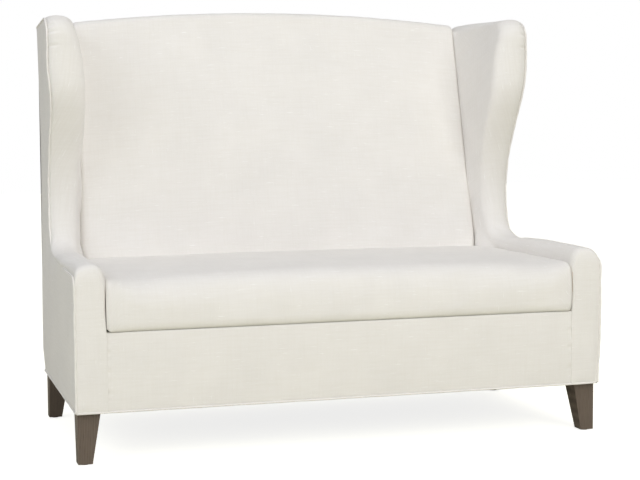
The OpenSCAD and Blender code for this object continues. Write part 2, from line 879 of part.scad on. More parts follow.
// Each section is [edge point, hidden point, edge width, hidden width, ease, crease share, swell]
function arm_section(d, low) =
    [[seat_proud + d, arm_edge_at(d)], [seat_proud + d, low],
        arm_w, arm_w, ease(d, arm_front_r), 0.5, arm_swell];
function back_point(z) = [back_line(z) - hidden_gap / cos(slope_a), z];
hidden_turn = 0.6;
function scoop_section(t) =
    let (
        e = bez(scoop, t),
        corner = back_point(hidden_low).x,
        u = t / hidden_turn,
        v = (t - hidden_turn) / (1 - hidden_turn),
        h = t < hidden_turn
            ? [arm_run + seat_proud + (corner - arm_run - seat_proud) * pow(u, 1.6), hidden_low]
            : back_point(hidden_low + (waist_h - hidden_low) * 0.7 * v),
        w = arm_w + (wing_w - arm_w) * 0.4 * t,
        hw = arm_w + (crease_w - arm_w) * min(1, pow(u, 1.5))
    )
    [e, h, w, hw, 0, 0.5 + 0.1 * t, arm_swell + (roll_swell - arm_swell) * t];
function wing_section(p, z, w) =
    [p, back_point(z), w, crease_w, 0,
        max(0.3, (crease(p.y) - p.x) / norm(back_point(z) - p)), roll_swell];
wing_rise_steps = 3;
wing_hidden_top = wing_edge_h - wing_tip_r - wing_tip_r;
wing_hidden_0 = hidden_low + (waist_h - hidden_low) * 0.7;
function wing_hidden(z) =
    wing_hidden_0 + (wing_hidden_top - wing_hidden_0) * (z - waist_h) / (wing_edge_h - waist_h);
top_shares_wing = [0.25, 0.5, 0.75, 0.96];
wing_top_back = back_line(wing_edge_h) - hidden_gap / cos(slope_a);
wing_rest_h = wing_edge_h - ply_inset + rail_tilt;
wing_rest_back = back_line(wing_rest_h) - back_far / cos(slope_a) - soft_gap;
function wing_end_back(z) = back_line(z) - cover_t / cos(slope_a) - soft_gap;
function wing_sections() = concat(
    [for (i = [1:sweep_steps])
        let (t = i / sweep_steps, p = bez(wing_sweep, t))
        wing_section(p, wing_hidden(p.y), arm_w + (wing_w - arm_w) * (0.4 + 0.6 * t))],
    [for (i = [1:wing_rise_steps - 1])
        let (z = wing_straight_h + (tip.y - wing_straight_h) * i / wing_rise_steps)
        wing_section([wing_front, z], wing_hidden(z), wing_w)],
    [for (i = [0:corner_steps])
        let (s = i / corner_steps, a = 180 - 90 * s, p = tip + wing_tip_r * [cos(a), sin(a)])
        wing_section(p, wing_hidden(tip.y) + wing_tip_r * 0.5 * s, wing_w + (wing_top_w - wing_w) * s)],
    [for (s = top_shares_wing)
        let (p = [tip.x + (wing_top_back - tip.x) * s, wing_edge_h])
        wing_section(p, wing_hidden(tip.y) + wing_tip_r * (0.5 + 0.4 * s), wing_top_w)],
    [[[wing_top_back + cut, wing_edge_h], [wing_rest_back, wing_rest_h],
        wing_top_w, crease_w, 0, 1, roll_swell]],
    [[[wing_end_back(wing_edge_h), wing_edge_h], [wing_end_back(wing_rest_h), wing_rest_h],
        wing_top_w, crease_w, 0, 1, roll_swell]]
);
post_back = rail_back - seat_proud;
arm_mid_shares = [0.3, 0.6, 0.85];
function pad_sections() = concat(
    [for (s = arm_back_shares) arm_section(post_back * s, cover_low)],
    [arm_section(post_back, cover_low), arm_section(post_back + cut, hidden_low)],
    [for (s = arm_mid_shares) arm_section(post_back + (arm_run - seat_proud - post_back) * s, hidden_low)],
    [for (i = [0:scoop_steps]) scoop_section(i / scoop_steps)],
    wing_sections()
);
// Points of a section: share of the width, share of the swell (out is positive)
roll_shares = [[0.1, 0.5], [0.27, 0.87], [0.5, 1], [0.72, 0.72], [0.9, 0], [0.99, -1]];
function pad_ring(q) =
    let (
        e = q[0],
        h = q[1],
        u = unit(h - e),
        reach = norm(h - e),
        w = q[2],
        hw = q[3],
        k = q[4],
        c = q[5] * reach,
        swell = q[6]
    )
    concat(
        [[cover_in, e + u * k * 0.3]],
        [for (p = roll_shares)
            [cover_in + (w - cover_in) * p.x - k * p.x, e - u * swell * p.y + u * k]],
        [[w + (hw - w) * 0.45 - k, e + u * min(k + (c + swell) * 0.5, reach - cut)]],
        [[hw - k, e + u * min(max(c, 2.2 * swell), reach - cut / 2)]],
        [[hw - k, h]],
        [[cover_in, h]]
    );
module pad_block() {
    skin([
        for (q = pad_sections())
            [for (p = pad_ring(q)) [-half_w + p[0], front_y + p[1].x, p[1].y]]
    ]);
}
module wing_arm_pad() {
    color(linen)
        difference() {
            pad_block();
            left_slab(0, ply_in)
                polygon(side_outline(ply_inset, -cut, 0));
            left_block(0, post_in, rail_front, rail_back + 2 * cut, 0, post_top);
            left_block(0, arm_w + cut, rail_front, rail_back + 2 * cut, 0, rail_top_h);
            arm_board_block();
        }
}
module wing_arm_pad_left() {
    wing_arm_pad();
}
module wing_arm_pad_right() {
    mirrored()
        wing_arm_pad();
}

// Outside covers
module front_border() {
    color(linen)
        translate([-seat_half, front_y + seat_proud, cover_low])
            cube([2 * seat_half, cover_t, seat_seam_h - soft_gap - cover_low]);
}
module side_cover() {
    color(linen)
        left_slab(welt_proud, cover_in)
            polygon(side_outline(welt_r, 0, cover_low));
}
module side_cover_left() {
    side_cover();
}
module side_cover_right() {
    mirrored()
        side_cover();
}
module back_cover() {
    end_x = half_w - cover_in;
    low = up_slope(cover_low);
    side_top = up_slope(wing_edge_h);
    color(linen)
        back_board(0, cover_t)
            polygon(concat(
                [[-end_x, low], [end_x, low], [end_x, side_top], [arch_half, side_top]],
                [for (i = [0:arch_steps]) let (x = arch_half * (1 - 2 * i / arch_steps))
                    [x, arch_low(x, welt_r)]],
                [[-arch_half, side_top], [-end_x, side_top]]
            ));
}

// Welts: one up the front of each outside panel and along its top, one round the base
welt_sides = 8;
module side_welt() {
    run = concat([[seat_proud, cover_low]], edge(0), [[back_line(wing_edge_h) - welt_r, wing_edge_h]]);
    color(linen)
        rod([for (p = run) [-half_w + welt_r, front_y + p.x, p.y]], [1, 0, 0], welt_r, welt_sides);
}
module side_welt_left() {
    side_welt();
}
module side_welt_right() {
    mirrored()
        side_welt();
}
module base_welt() {
    z = leg_h + welt_r;
    x = half_w - welt_r;
    y0 = front_y + rail_front - welt_r;
    y1 = front_y + base_d - cover_t + welt_r + soft_gap;
    color(linen) {
        for (y = [y0, y1])
            translate([-x, y, z])
                rotate([0, 90, 0])
                    cylinder(r = welt_r, h = 2 * x);
        for (side = [-x, x])
            translate([side, y0, z])
                rotate([-90, 0, 0])
                    cylinder(r = welt_r, h = y1 - y0);
        for (side = [-x, x], y = [y0, y1])
            translate([side, y, z])
                sphere(r = welt_r);
    }
}
// Sheet under the frame, with a hole at each leg bolt
module dust_cover() {
    color(cambric)
        difference() {
            translate([-half_w + welt_d, front_y + rail_front, leg_h])
                cube([overall_w - 2 * welt_d, base_d - cover_t - rail_front, sheet_t]);
            at_legs()
                cylinder(d = leg_bolt_d + bolt_fit, h = frame_z + cut);
        }
}

side_frame_left();
side_frame_right();
arm_front_post_left();
arm_front_post_right();
arm_board_left();
arm_board_right();
front_seat_rail();
back_seat_rail();
side_seat_rail_left();
side_seat_rail_right();
seat_stretchers();
leg_blocks();
back_top_rail();
back_lower_rail();
back_posts();
frame_dowels();
seat_springs();
spring_clips();
spring_tie_rods();
seat_deck_cloth();
front_edge_roll();
back_webbing_upright();
back_webbing_level();
seat_pad();
back_pad();
wing_arm_pad_left();
wing_arm_pad_right();
front_border();
side_cover_left();
side_cover_right();
back_cover();
side_welt_left();
side_welt_right();
base_welt();
dust_cover();
leg_front_left();
leg_front_right();
leg_rear_left();
leg_rear_right();
leg_hanger_bolts();
leg_tee_nuts();
leg_glides();
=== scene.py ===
"""Looks of a high-back settee in oatmeal linen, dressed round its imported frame.

Metres, Z up, front towards -Y.
"""

import bpy
import math
import numpy as np
from mathutils import Matrix, Vector


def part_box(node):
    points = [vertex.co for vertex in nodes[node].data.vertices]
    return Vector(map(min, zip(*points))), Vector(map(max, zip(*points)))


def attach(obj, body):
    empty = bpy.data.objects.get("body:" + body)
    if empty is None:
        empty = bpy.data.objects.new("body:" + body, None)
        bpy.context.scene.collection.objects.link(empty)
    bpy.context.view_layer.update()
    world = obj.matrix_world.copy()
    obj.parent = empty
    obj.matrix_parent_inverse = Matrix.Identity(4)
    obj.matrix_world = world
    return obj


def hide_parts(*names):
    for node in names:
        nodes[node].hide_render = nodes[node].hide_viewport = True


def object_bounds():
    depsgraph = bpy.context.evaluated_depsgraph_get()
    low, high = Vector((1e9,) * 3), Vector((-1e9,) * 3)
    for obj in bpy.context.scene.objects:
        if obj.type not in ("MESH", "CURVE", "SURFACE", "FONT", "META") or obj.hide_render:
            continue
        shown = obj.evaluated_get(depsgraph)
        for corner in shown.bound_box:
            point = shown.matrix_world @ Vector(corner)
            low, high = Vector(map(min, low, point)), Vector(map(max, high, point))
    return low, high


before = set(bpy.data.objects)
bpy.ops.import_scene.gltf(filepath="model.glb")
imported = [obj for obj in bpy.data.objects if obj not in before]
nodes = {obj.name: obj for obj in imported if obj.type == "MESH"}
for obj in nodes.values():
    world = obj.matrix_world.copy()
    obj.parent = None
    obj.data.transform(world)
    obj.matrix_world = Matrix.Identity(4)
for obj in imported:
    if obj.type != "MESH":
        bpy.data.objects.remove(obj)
cad_box = [list(corner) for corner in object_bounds()]

# Timber frame: plywood side frames, and sawn hardwood rails, posts and blocks, doweled and glued.
# All of it is out of sight once the settee is covered, so the boards are left as they come off the saw.
HARDWOOD = ["arm_front_post_left", "arm_front_post_right", "arm_board_left", "arm_board_right",
            "front_seat_rail", "back_seat_rail", "side_seat_rail_left", "side_seat_rail_right",
            "seat_stretchers", "leg_blocks", "back_top_rail", "back_lower_rail", "back_posts"]


def put(tree, kind, **values):
    """Adds a node and sets its properties, or its inputs by name."""
    made = tree.nodes.new(kind)
    for name, value in values.items():
        if hasattr(made, name):
            setattr(made, name, value)
        else:
            made.inputs[name.replace("_", " ")].default_value = value
    return made


def new_material(name):
    """An empty node material with its surface shader and output, and the shader's own plain values."""
    material = bpy.data.materials.new(name)
    material.use_nodes = True
    return material, material.node_tree, material.node_tree.nodes["Principled BSDF"]


def new_group(name, inputs, outputs):
    """An empty node group with named sockets; inputs are (name, kind, value), outputs (name, kind)."""
    group = bpy.data.node_groups.new(name, "ShaderNodeTree")
    for label, kind, value in inputs:
        socket = group.interface.new_socket(label, in_out="INPUT", socket_type=kind)
        if value is not None:
            socket.default_value = value
    for label, kind in outputs:
        group.interface.new_socket(label, in_out="OUTPUT", socket_type=kind)
    return group, group.nodes.new("NodeGroupInput"), group.nodes.new("NodeGroupOutput")


def use_group(tree, group, **values):
    """Places a node group in a material with its own values."""
    placed = tree.nodes.new("ShaderNodeGroup")
    placed.node_tree = group
    for name, value in values.items():
        placed.inputs[name.replace("_", " ")].default_value = value
    return placed


def calc(tree, operation, *amounts):
    """A maths node with its plain values in order, and None where another node is joined."""
    made = put(tree, "ShaderNodeMath", operation=operation)
    for entry, amount in zip(made.inputs, amounts):
        if amount is not None:
            entry.default_value = amount
    return made


def wire(tree, *runs):
    """Joins nodes; each run is a node, its output, the next node and its input."""
    for source, output, target, entry in runs:
        tree.links.new(source.outputs[output], target.inputs[entry])


def dress(tree, effect, surface, depth, strength=1.0):
    """Feeds an effect's colour, roughness and height to a surface, the height as relief of that depth."""
    relief = put(tree, "ShaderNodeBump", Distance=depth, Strength=strength)
    wire(tree, (effect, "Colour", surface, "Base Color"), (effect, "Roughness", surface, "Roughness"),
         (effect, "Height", relief, "Height"), (relief, "Normal", surface, "Normal"))


def wood_grain_group():
    """Colour, roughness and height of straight-grained wood that runs along one axis."""
    colour, number = "NodeSocketColor", "NodeSocketFloat"
    group, given, result = new_group(
        "wood grain",
        [("Place", "NodeSocketVector", None),
         ("Light", colour, (0.6, 0.42, 0.25, 1)), ("Dark", colour, (0.4, 0.25, 0.13, 1)),
         ("Ring spacing", number, 0.006), ("Pore depth", number, 0.5)],
        [("Colour", colour), ("Roughness", number), ("Height", number)])
    # Growth rings: bands across the board, bent by slow noise
    warp = put(group, "ShaderNodeTexNoise", Scale=3.0, Detail=2.0)
    bent = put(group, "ShaderNodeMixRGB", blend_type="ADD", Fac=0.012)
    split = put(group, "ShaderNodeSeparateXYZ")
    turns = calc(group, "DIVIDE")
    angle = calc(group, "MULTIPLY", None, 2 * math.pi)
    wave = calc(group, "SINE")
    wire(group, (given, "Place", warp, "Vector"), (given, "Place", bent, "Color1"),
         (warp, "Color", bent, "Color2"), (bent, "Color", split, "Vector"), (split, "X", turns, 0),
         (given, "Ring spacing", turns, 1), (turns, 0, angle, 0), (angle, 0, wave, 0))
    # Pores: short fine streaks along the grain
    stretch = put(group, "ShaderNodeMapping", Scale=(900.0, 900.0, 35.0))
    pores = put(group, "ShaderNodeTexNoise", Scale=1.0, Detail=3.0, Roughness=0.65)
    pore_mask = put(group, "ShaderNodeMapRange", From_Min=0.52, From_Max=0.68)
    tone = put(group, "ShaderNodeMapRange", From_Min=-1.0, From_Max=1.0, To_Min=0.15, To_Max=0.6)
    darker = calc(group, "MULTIPLY_ADD")
    mixed = put(group, "ShaderNodeMixRGB", use_clamp=True)
    rough = put(group, "ShaderNodeMapRange", To_Min=0.48, To_Max=0.66)
    height = calc(group, "SUBTRACT", 1.0)
    wire(group, (given, "Place", stretch, "Vector"), (stretch, "Vector", pores, "Vector"),
         (pores, "Fac", pore_mask, "Value"), (wave, 0, tone, "Value"), (pore_mask, "Result", darker, 0),
         (given, "Pore depth", darker, 1), (tone, "Result", darker, 2), (darker, 0, mixed, "Fac"),
         (given, "Light", mixed, "Color1"), (given, "Dark", mixed, "Color2"),
         (mixed, "Color", result, "Colour"), (darker, 0, rough, "Value"),
         (rough, "Result", result, "Roughness"), (pore_mask, "Result", height, 1),
         (height, 0, result, "Height"))
    return group


WOOD_GRAIN = wood_grain_group()


def wood_material(name, light, dark, ring, pore, turn=(0, 0, 0)):
    """A wood finish: its colours, the width of its growth rings, how dark its pores are.

    turn brings the grain, which runs along Z, to the length of the board.
    """
    material, tree, surface = new_material(name)
    place = put(tree, "ShaderNodeTexCoord")
    turned = put(tree, "ShaderNodeMapping", Rotation=turn)
    grain = use_group(tree, WOOD_GRAIN, Light=light, Dark=dark, Ring_spacing=ring, Pore_depth=pore)
    wire(tree, (place, "Object", turned, "Vector"), (turned, "Vector", grain, "Place"))
    dress(tree, grain, surface, depth=0.00012)
    return material


def finish_node(name, material):
    """Gives a frame node its material in every slot."""
    piece = nodes[name]
    if not piece.material_slots:
        piece.data.materials.append(material)
    for held in piece.material_slots:
        held.material = material


ply = wood_material("birch plywood", light=(0.68, 0.52, 0.33, 1), dark=(0.42, 0.27, 0.14, 1),
                    ring=0.0016, pore=0.35)
sawn = wood_material("sawn hardwood", light=(0.58, 0.40, 0.23, 1), dark=(0.36, 0.22, 0.11, 1),
                     ring=0.005, pore=0.45, turn=(0, math.radians(90), 0))
for side in ("left", "right"):
    finish_node(f"side_frame_{side}", ply)
for name in HARDWOOD:
    finish_node(name, sawn)
finish_node("frame_dowels", ply)

# Seat springs: sinuous wire held by clips on the rails and tied by two rods, all bright drawn steel.
# The leg bolts and the tee nuts that take them are zinc plated, with a faint yellow cast.


def metal_material(name, colour, worn, rough):
    """Drawn or plated steel, greyer and duller in patches where it was handled."""
    material, tree, surface = new_material(name)
    surface.inputs["Metallic"].default_value = 1.0
    place = put(tree, "ShaderNodeTexCoord")
    patches = put(tree, "ShaderNodeTexNoise", Scale=90.0, Detail=4.0)
    mask = put(tree, "ShaderNodeMapRange", From_Min=0.4, From_Max=0.65)
    tint = put(tree, "ShaderNodeMixRGB", Color1=colour, Color2=worn)
    dull = put(tree, "ShaderNodeMapRange", To_Min=rough, To_Max=rough + 0.25)
    wire(tree, (place, "Object", patches, "Vector"), (patches, "Fac", mask, "Value"),
         (mask, "Result", tint, "Fac"), (mask, "Result", dull, "Value"),
         (tint, "Color", surface, "Base Color"), (dull, "Result", surface, "Roughness"))
    return material


spring_steel = metal_material("spring steel", colour=(0.42, 0.43, 0.45, 1), worn=(0.26, 0.25, 0.24, 1),
                              rough=0.3)
zinc = metal_material("zinc plate", colour=(0.62, 0.60, 0.54, 1), worn=(0.40, 0.38, 0.33, 1), rough=0.36)
for name in ("seat_springs", "spring_clips", "spring_tie_rods"):
    finish_node(name, spring_steel)
for name in ("leg_hanger_bolts", "leg_tee_nuts"):
    finish_node(name, zinc)

# Cloth of the settee: a plain-woven oatmeal linen with slubs both ways, over wadding and foam.
# Every cover has its cloth laid in real metres along warp and weft, so the weave keeps its size.
warp_yarn = (0.878, 0.855, 0.824)
weft_yarn = (0.843, 0.817, 0.783)
pale_slub = (0.99, 0.98, 0.96, 1)
thin_place = (0.72, 0.68, 0.61, 1)


def linen_group():
    """Colour, roughness and height of slubby plain weave on a place given in metres."""
    colour, number = "NodeSocketColor", "NodeSocketFloat"
    group, given, result = new_group(
        "linen weave",
        [("Place", "NodeSocketVector", None), ("Thread pitch", number, 0.0009),
         ("Warp", colour, (0.82, 0.79, 0.73, 1)), ("Weft", colour, (0.76, 0.73, 0.66, 1)),
         ("Slub", number, 1.0)],
        [("Colour", colour), ("Roughness", number), ("Height", number)])
    split = put(group, "ShaderNodeSeparateXYZ")

    def wave(axis):
        """A sine across the threads of one direction."""
        count = calc(group, "DIVIDE")
        angle = calc(group, "MULTIPLY", None, math.pi)
        sine = calc(group, "SINE")
        wire(group, (split, axis, count, 0), (given, "Thread pitch", count, 1), (count, 0, angle, 0),
             (angle, 0, sine, 0))
        return sine

    def streaks(scale, low, high):
        """Long thin marks: scale gives how many per metre, and they fade in from low to high noise."""
        laid = put(group, "ShaderNodeMapping", Scale=scale)
        noise = put(group, "ShaderNodeTexNoise", Scale=1.0, Detail=2.0, Roughness=0.55)
        mask = put(group, "ShaderNodeMapRange", From_Min=low, From_Max=high)
        wire(group, (given, "Place", laid, "Vector"), (laid, "Vector", noise, "Vector"),
             (noise, "Fac", mask, "Value"))
        return mask

    over = calc(group, "MULTIPLY")
    crossing = put(group, "ShaderNodeMapRange", From_Min=-1.0, From_Max=1.0)
    weft_slub = streaks((24.0, 290.0, 1.0), low=0.655, high=0.755)
    warp_slub = streaks((290.0, 26.0, 1.0), low=0.685, high=0.785)
    weft_shade = streaks((10.0, 170.0, 1.0), low=0.42, high=0.66)
    warp_shade = streaks((170.0, 10.0, 1.0), low=0.42, high=0.66)
    thread = put(group, "ShaderNodeMixRGB")
    wire(group, (given, "Place", split, "Vector"), (wave("X"), 0, over, 0), (wave("Y"), 0, over, 1),
         (over, 0, crossing, "Value"), (crossing, "Result", thread, "Fac"), (given, "Warp", thread, "Color1"),
         (given, "Weft", thread, "Color2"))
    # Slubs lift and pale the yarn, thin places let the shade between the threads show
    tone = thread
    for mask, paint, strength in ((weft_slub, pale_slub, 0.95), (warp_slub, pale_slub, 0.75),
                                  (weft_shade, thin_place, 0.11), (warp_shade, thin_place, 0.08)):
        scaled = calc(group, "MULTIPLY", None, strength)
        amount = calc(group, "MULTIPLY")
        mixed = put(group, "ShaderNodeMixRGB", Color2=paint)
        wire(group, (given, "Slub", scaled, 0), (mask, "Result", amount, 0), (scaled, 0, amount, 1),
             (amount, 0, mixed, "Fac"), (tone, "Color", mixed, "Color1"))
        tone = mixed
    # Faint wide clouding of the dye and of handling
    cloud = put(group, "ShaderNodeTexNoise", Scale=6.0, Detail=3.0)
    shade = put(group, "ShaderNodeMapRange", From_Min=0.3, From_Max=0.7, To_Min=0.975, To_Max=1.015)
    clouded = put(group, "ShaderNodeMixRGB", blend_type="MULTIPLY", Fac=1.0)
    wire(group, (given, "Place", cloud, "Vector"), (cloud, "Fac", shade, "Value"),
         (tone, "Color", clouded, "Color1"), (shade, "Result", clouded, "Color2"),
         (clouded, "Color", result, "Colour"))
    # The crossings of the threads stand up, the slubs a little less over them and smoother
    slubs = calc(group, "MAXIMUM")
    height = calc(group, "MULTIPLY_ADD", None, 0.8)
    rough = put(group, "ShaderNodeMapRange", To_Min=0.93, To_Max=0.84)
    wire(group, (weft_slub, "Result", slubs, 0), (warp_slub, "Result", slubs, 1), (slubs, 0, height, 0),
         (crossing, "Result", height, 2), (height, 0, result, "Height"), (slubs, 0, rough, "Value"),
         (rough, "Result", result, "Roughness"))
    return group


LINEN_WEAVE = linen_group()


def linen_material(name, tint=1.0, slub=1.0, turn=0.0):
    """A linen cover: tint makes it darker or paler, slub its slubs weaker, turn lays it on the bias."""
    material, tree, surface = new_material(name)
    surface.inputs["Sheen Weight"].default_value = 0.12
    surface.inputs["Sheen Roughness"].default_value = 0.5
    surface.inputs["Specular IOR Level"].default_value = 0.25
    laid = put(tree, "ShaderNodeUVMap", uv_map="Cloth")
    turned = put(tree, "ShaderNodeMapping", Rotation=(0, 0, turn))
    weave = use_group(tree, LINEN_WEAVE, Slub=slub, Warp=(*(tint * c for c in warp_yarn), 1),
                      Weft=(*(tint * c for c in weft_yarn), 1))
    wire(tree, (laid, "UV", turned, "Vector"), (turned, "Vector", weave, "Place"))
    dress(tree, weave, surface, depth=0.00025, strength=0.6)
    return material


linen = linen_material("oatmeal linen")


def distances(points):
    """How far along the run each of its points lies."""
    return np.concatenate([[0.0], np.cumsum(np.linalg.norm(np.diff(points, axis=0), axis=1))])


def lofted(name, rings, material, cap=True):
    """A skin over closed rings of points, the cloth laid round them in metres; cap closes both ends."""
    points = np.array(rings, float)
    many, each = points.shape[:2]
    closed = np.concatenate([points, points[:, :1]], axis=1)
    middle = each // 2
    along = np.array([distances(ring) for ring in closed])
    along = along - along[:, middle:middle + 1]
    across = distances(closed[:, middle])
    faces, marks = [], []
    for i in range(many - 1):
        for j in range(each):
            k = (j + 1) % each
            faces.append((i * each + j, i * each + k, (i + 1) * each + k, (i + 1) * each + j))
            marks += [(across[i], along[i][j]), (across[i], along[i][j + 1]),
                      (across[i + 1], along[i + 1][j + 1]), (across[i + 1], along[i + 1][j])]
    if cap:
        for ring, order in ((0, range(each - 1, -1, -1)), (many - 1, range(each))):
            faces.append(tuple(ring * each + j for j in order))
            marks += [(points[ring][j][1], points[ring][j][2]) for j in order]
    mesh = bpy.data.meshes.new(name)
    mesh.from_pydata(points.reshape(-1, 3).tolist(), [], faces)
    laid = mesh.uv_layers.new(name="Cloth")
    laid.data.foreach_set("uv", np.array(marks, float).reshape(-1))
    mesh.polygons.foreach_set("use_smooth", [True] * len(mesh.polygons))
    mesh.materials.append(material)
    piece = bpy.data.objects.new(name, mesh)
    bpy.context.scene.collection.objects.link(piece)
    mesh.validate()
    mesh.update()
    return piece


def lay_flat(piece, faces, axes):
    """Lays the cloth of some faces flat on two axes of space, in metres."""
    mesh = piece.data
    laid = mesh.uv_layers["Cloth"].data
    for index in faces:
        for loop in mesh.polygons[index].loop_indices:
            place = mesh.vertices[mesh.loops[loop].vertex_index].co
            laid[loop].uv = (place[axes[0]], place[axes[1]])


# Seat pad: a tight foam seat with a waterfall front, wrapped in wadding and pulled down over the rails.
# The cloth runs from the seam under the nose, over the top, into the crease of the back.
front_y = cad_box[0][1]
half_w = cad_box[1][0]
overall_h = cad_box[1][2]
overall_d = cad_box[1][1] - front_y
seat_low, seat_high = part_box("seat_pad")
seat_half = seat_high[0]
seam_h = seat_low[2]
seat_h = 0.495
seat_depth = 0.622
seat_crown = 0.010
seat_end_r = 0.012
seat_tuck = 0.008
back_top_t = 0.057
rake = (overall_d - back_top_t - seat_depth) / (overall_h - seat_h)
# The nose is boxed over its last stretch at each end, and its lower corners are turned in
seat_nose = 0.092
nose_end_share = 0.24
nose_end_run = 0.085
nose_corner = 0.0065
nose_corner_run = 0.011
nose_end_fall = 0.8
# Points up the nose: share of its depth, and share of the seat's height over the seam
NOSE_SHARES = [(0.10, 0), (0.03, 0.07), (0.005, 0.18), (0, 0.32), (0.02, 0.50),
               (0.09, 0.66), (0.24, 0.82), (0.50, 0.93), (1, 0.985)]
TOP_SHARES = [0.2, 0.45, 0.7, 0.9]
# Towards the crease the two ends of the seat give way to the padding of the wings
wing_from = seat_depth - 0.108
wing_taper = 0.040
# Crossings of a cover stand this far apart, and so many points of each go round what shows
cover_pitch = 0.011
seat_shown = 84
settle_frames = 20
wadding_hold = 0.1
unevenness_kept = 0.33


def resampled(points, count):
    """The same run with its points set at even steps along it."""
    points = np.array(points, float)
    length = distances(points)
    wanted = np.linspace(0, length[-1], count)
    return np.stack([np.interp(wanted, length, points[:, k]) for k in range(points.shape[1])], axis=1)


def through(points, count):
    """A smooth curve through the points, at even steps."""
    points = np.array(points, float)
    knots = np.concatenate([[2 * points[0] - points[1]], points, [2 * points[-1] - points[-2]]])
    run = [points[0]]
    fine = 8
    for i in range(1, len(knots) - 2):
        a, b, c, d = knots[i - 1:i + 3]
        gaps = [max(np.linalg.norm(q - p), 1e-6) ** 0.5 for p, q in ((a, b), (b, c), (c, d))]
        leave = (b - a) / gaps[0] - (c - a) / (gaps[0] + gaps[1]) + (c - b) / gaps[1]
        arrive = (c - b) / gaps[1] - (d - b) / (gaps[1] + gaps[2]) + (d - c) / gaps[2]
        leave, arrive = leave * gaps[1], arrive * gaps[1]
        for k in range(1, fine + 1):
            t = k / fine
            run.append((2 * t**3 - 3 * t**2 + 1) * b + (t**3 - 2 * t**2 + t) * leave
                       + (-2 * t**3 + 3 * t**2) * c + (t**3 - t**2) * arrive)
    return resampled(run, count)


def eased(gap, radius):
    """How far a round edge of that radius has fallen at a distance from the end."""
    return 0.0 if gap >= radius else radius - math.sqrt(radius**2 - (radius - gap)**2)


def stations(half, radius, pitch):
    """Places across a pad: close together round its two ends, even between them."""
    ends = [radius * (1 - math.cos(math.radians(a))) for a in (0, 12, 24, 36, 48, 60, 72, 84)]
    inner = np.linspace(-half + radius * 1.1, half - radius * 1.1, int(2 * half / pitch))
    return [-half + e for e in ends] + list(inner) + [half - e for e in reversed(ends)]


def smooth(t):
    """Rises from 0 to 1 with an even start and stop."""
    t = min(max(t, 0.0), 1.0)
    return t * t * (3 - 2 * t)


def seat_ring(x):
    """One crossing of the seat pad: up the nose, over the top to the crease, and back underneath."""
    gap = seat_half - abs(x)
    drop = eased(gap, seat_end_r)
    full = 1 - (x / seat_half) ** 2
    rise = seat_h - seam_h
    crease_d = seat_depth + seat_tuck
    rear = min(crease_d, wing_from + (crease_d - wing_from) * (gap + 0.001) / wing_taper)
    nose = seat_nose * (nose_end_share + (1 - nose_end_share) * smooth(gap / nose_end_run))
    corner = nose_corner * (1 - smooth(gap / nose_corner_run))
    shown = [(front_y + drop * nose_end_fall + a * nose,
              seam_h + corner * (1 - b) + b * (rise - drop + seat_crown * full * b)) for a, b in NOSE_SHARES]
    for s in TOP_SHARES:
        lift = seat_crown * full * (math.sin(math.radians(90 + 60 * s)) + math.sin(math.pi * s) / 3)
        shown.append((front_y + nose + (rear - nose) * s, seat_h - drop + lift))
    shown.append((front_y + rear, seat_h - drop))
    hidden = resampled([shown[-1], (front_y + rear - rake * (rise - drop), seam_h)], 5)[1:]
    under = resampled([hidden[-1], shown[0]], 10)[1:-1]
    ring = np.concatenate([through(shown, seat_shown), hidden, under])
    return [(x, y, z) for y, z in ring]


def settle(piece, rings, loose, spare, limit):
    """The cover let go as cloth over the pressure of its filling, with a share of spare length to take up.

    It is held fast on both end rings and outside the loose points of each ring, where it is sewn or out of
    sight, and in between only the wadding clings to it. A third of the unevenness is kept, and none of the
    fullness: the rings already stand as full as the settee does.
    """
    mesh, ends = piece.data, (0, len(rings) - 1)
    held = np.array([1.0 if i in ends or not loose[0] <= j <= loose[1] else wadding_hold
                     for i in range(len(rings)) for j in range(len(rings[0]))])
    rest, out = np.empty(3 * len(held)), np.empty(3 * len(held))
    mesh.vertices.foreach_get("co", rest)
    mesh.vertices.foreach_get("normal", out)
    rest, out = rest.reshape(-1, 3), out.reshape(-1, 3)
    group = piece.vertex_groups.new(name="held")
    for index in np.flatnonzero(held):
        group.add([int(index)], float(held[index]), "REPLACE")
    cloth = piece.modifiers.new("cover", "CLOTH")
    cloth.settings.quality = 5
    cloth.settings.vertex_group_mass = "held"
    cloth.settings.bending_stiffness = 10
    cloth.settings.use_pressure = True
    cloth.settings.uniform_pressure_force = 0.4
    cloth.settings.shrink_min = -spare
    cloth.settings.effector_weights.gravity = 0
    cloth.collision_settings.use_collision = False
    cloth.point_cache.frame_start, cloth.point_cache.frame_end = 1, settle_frames
    for step in range(1, settle_frames + 1):
        bpy.context.scene.frame_set(step)
    shaped = piece.evaluated_get(bpy.context.evaluated_depsgraph_get())
    moved = np.empty(3 * len(held))
    shaped.data.vertices.foreach_get("co", moved)
    piece.modifiers.remove(cloth)
    piece.vertex_groups.remove(group)
    bpy.context.scene.frame_set(1)
    push = unevenness_kept * ((moved.reshape(-1, 3) - rest) * out).sum(axis=1)
    free = 1 - held
    push = np.clip(push - free * (push * free).sum() / (free * free).sum(), -limit, limit)
    mesh.vertices.foreach_set("co", (rest + out * push[:, None]).reshape(-1))
    mesh.update()


seat_rings = [seat_ring(x) for x in stations(seat_half, seat_end_r, cover_pitch)]
seat_pad = lofted("seat_cushion", seat_rings, linen)
settle(seat_pad, seat_rings, loose=(2, seat_shown - 4), spare=0.006, limit=0.003)
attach(seat_pad, "root")
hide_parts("seat_pad")

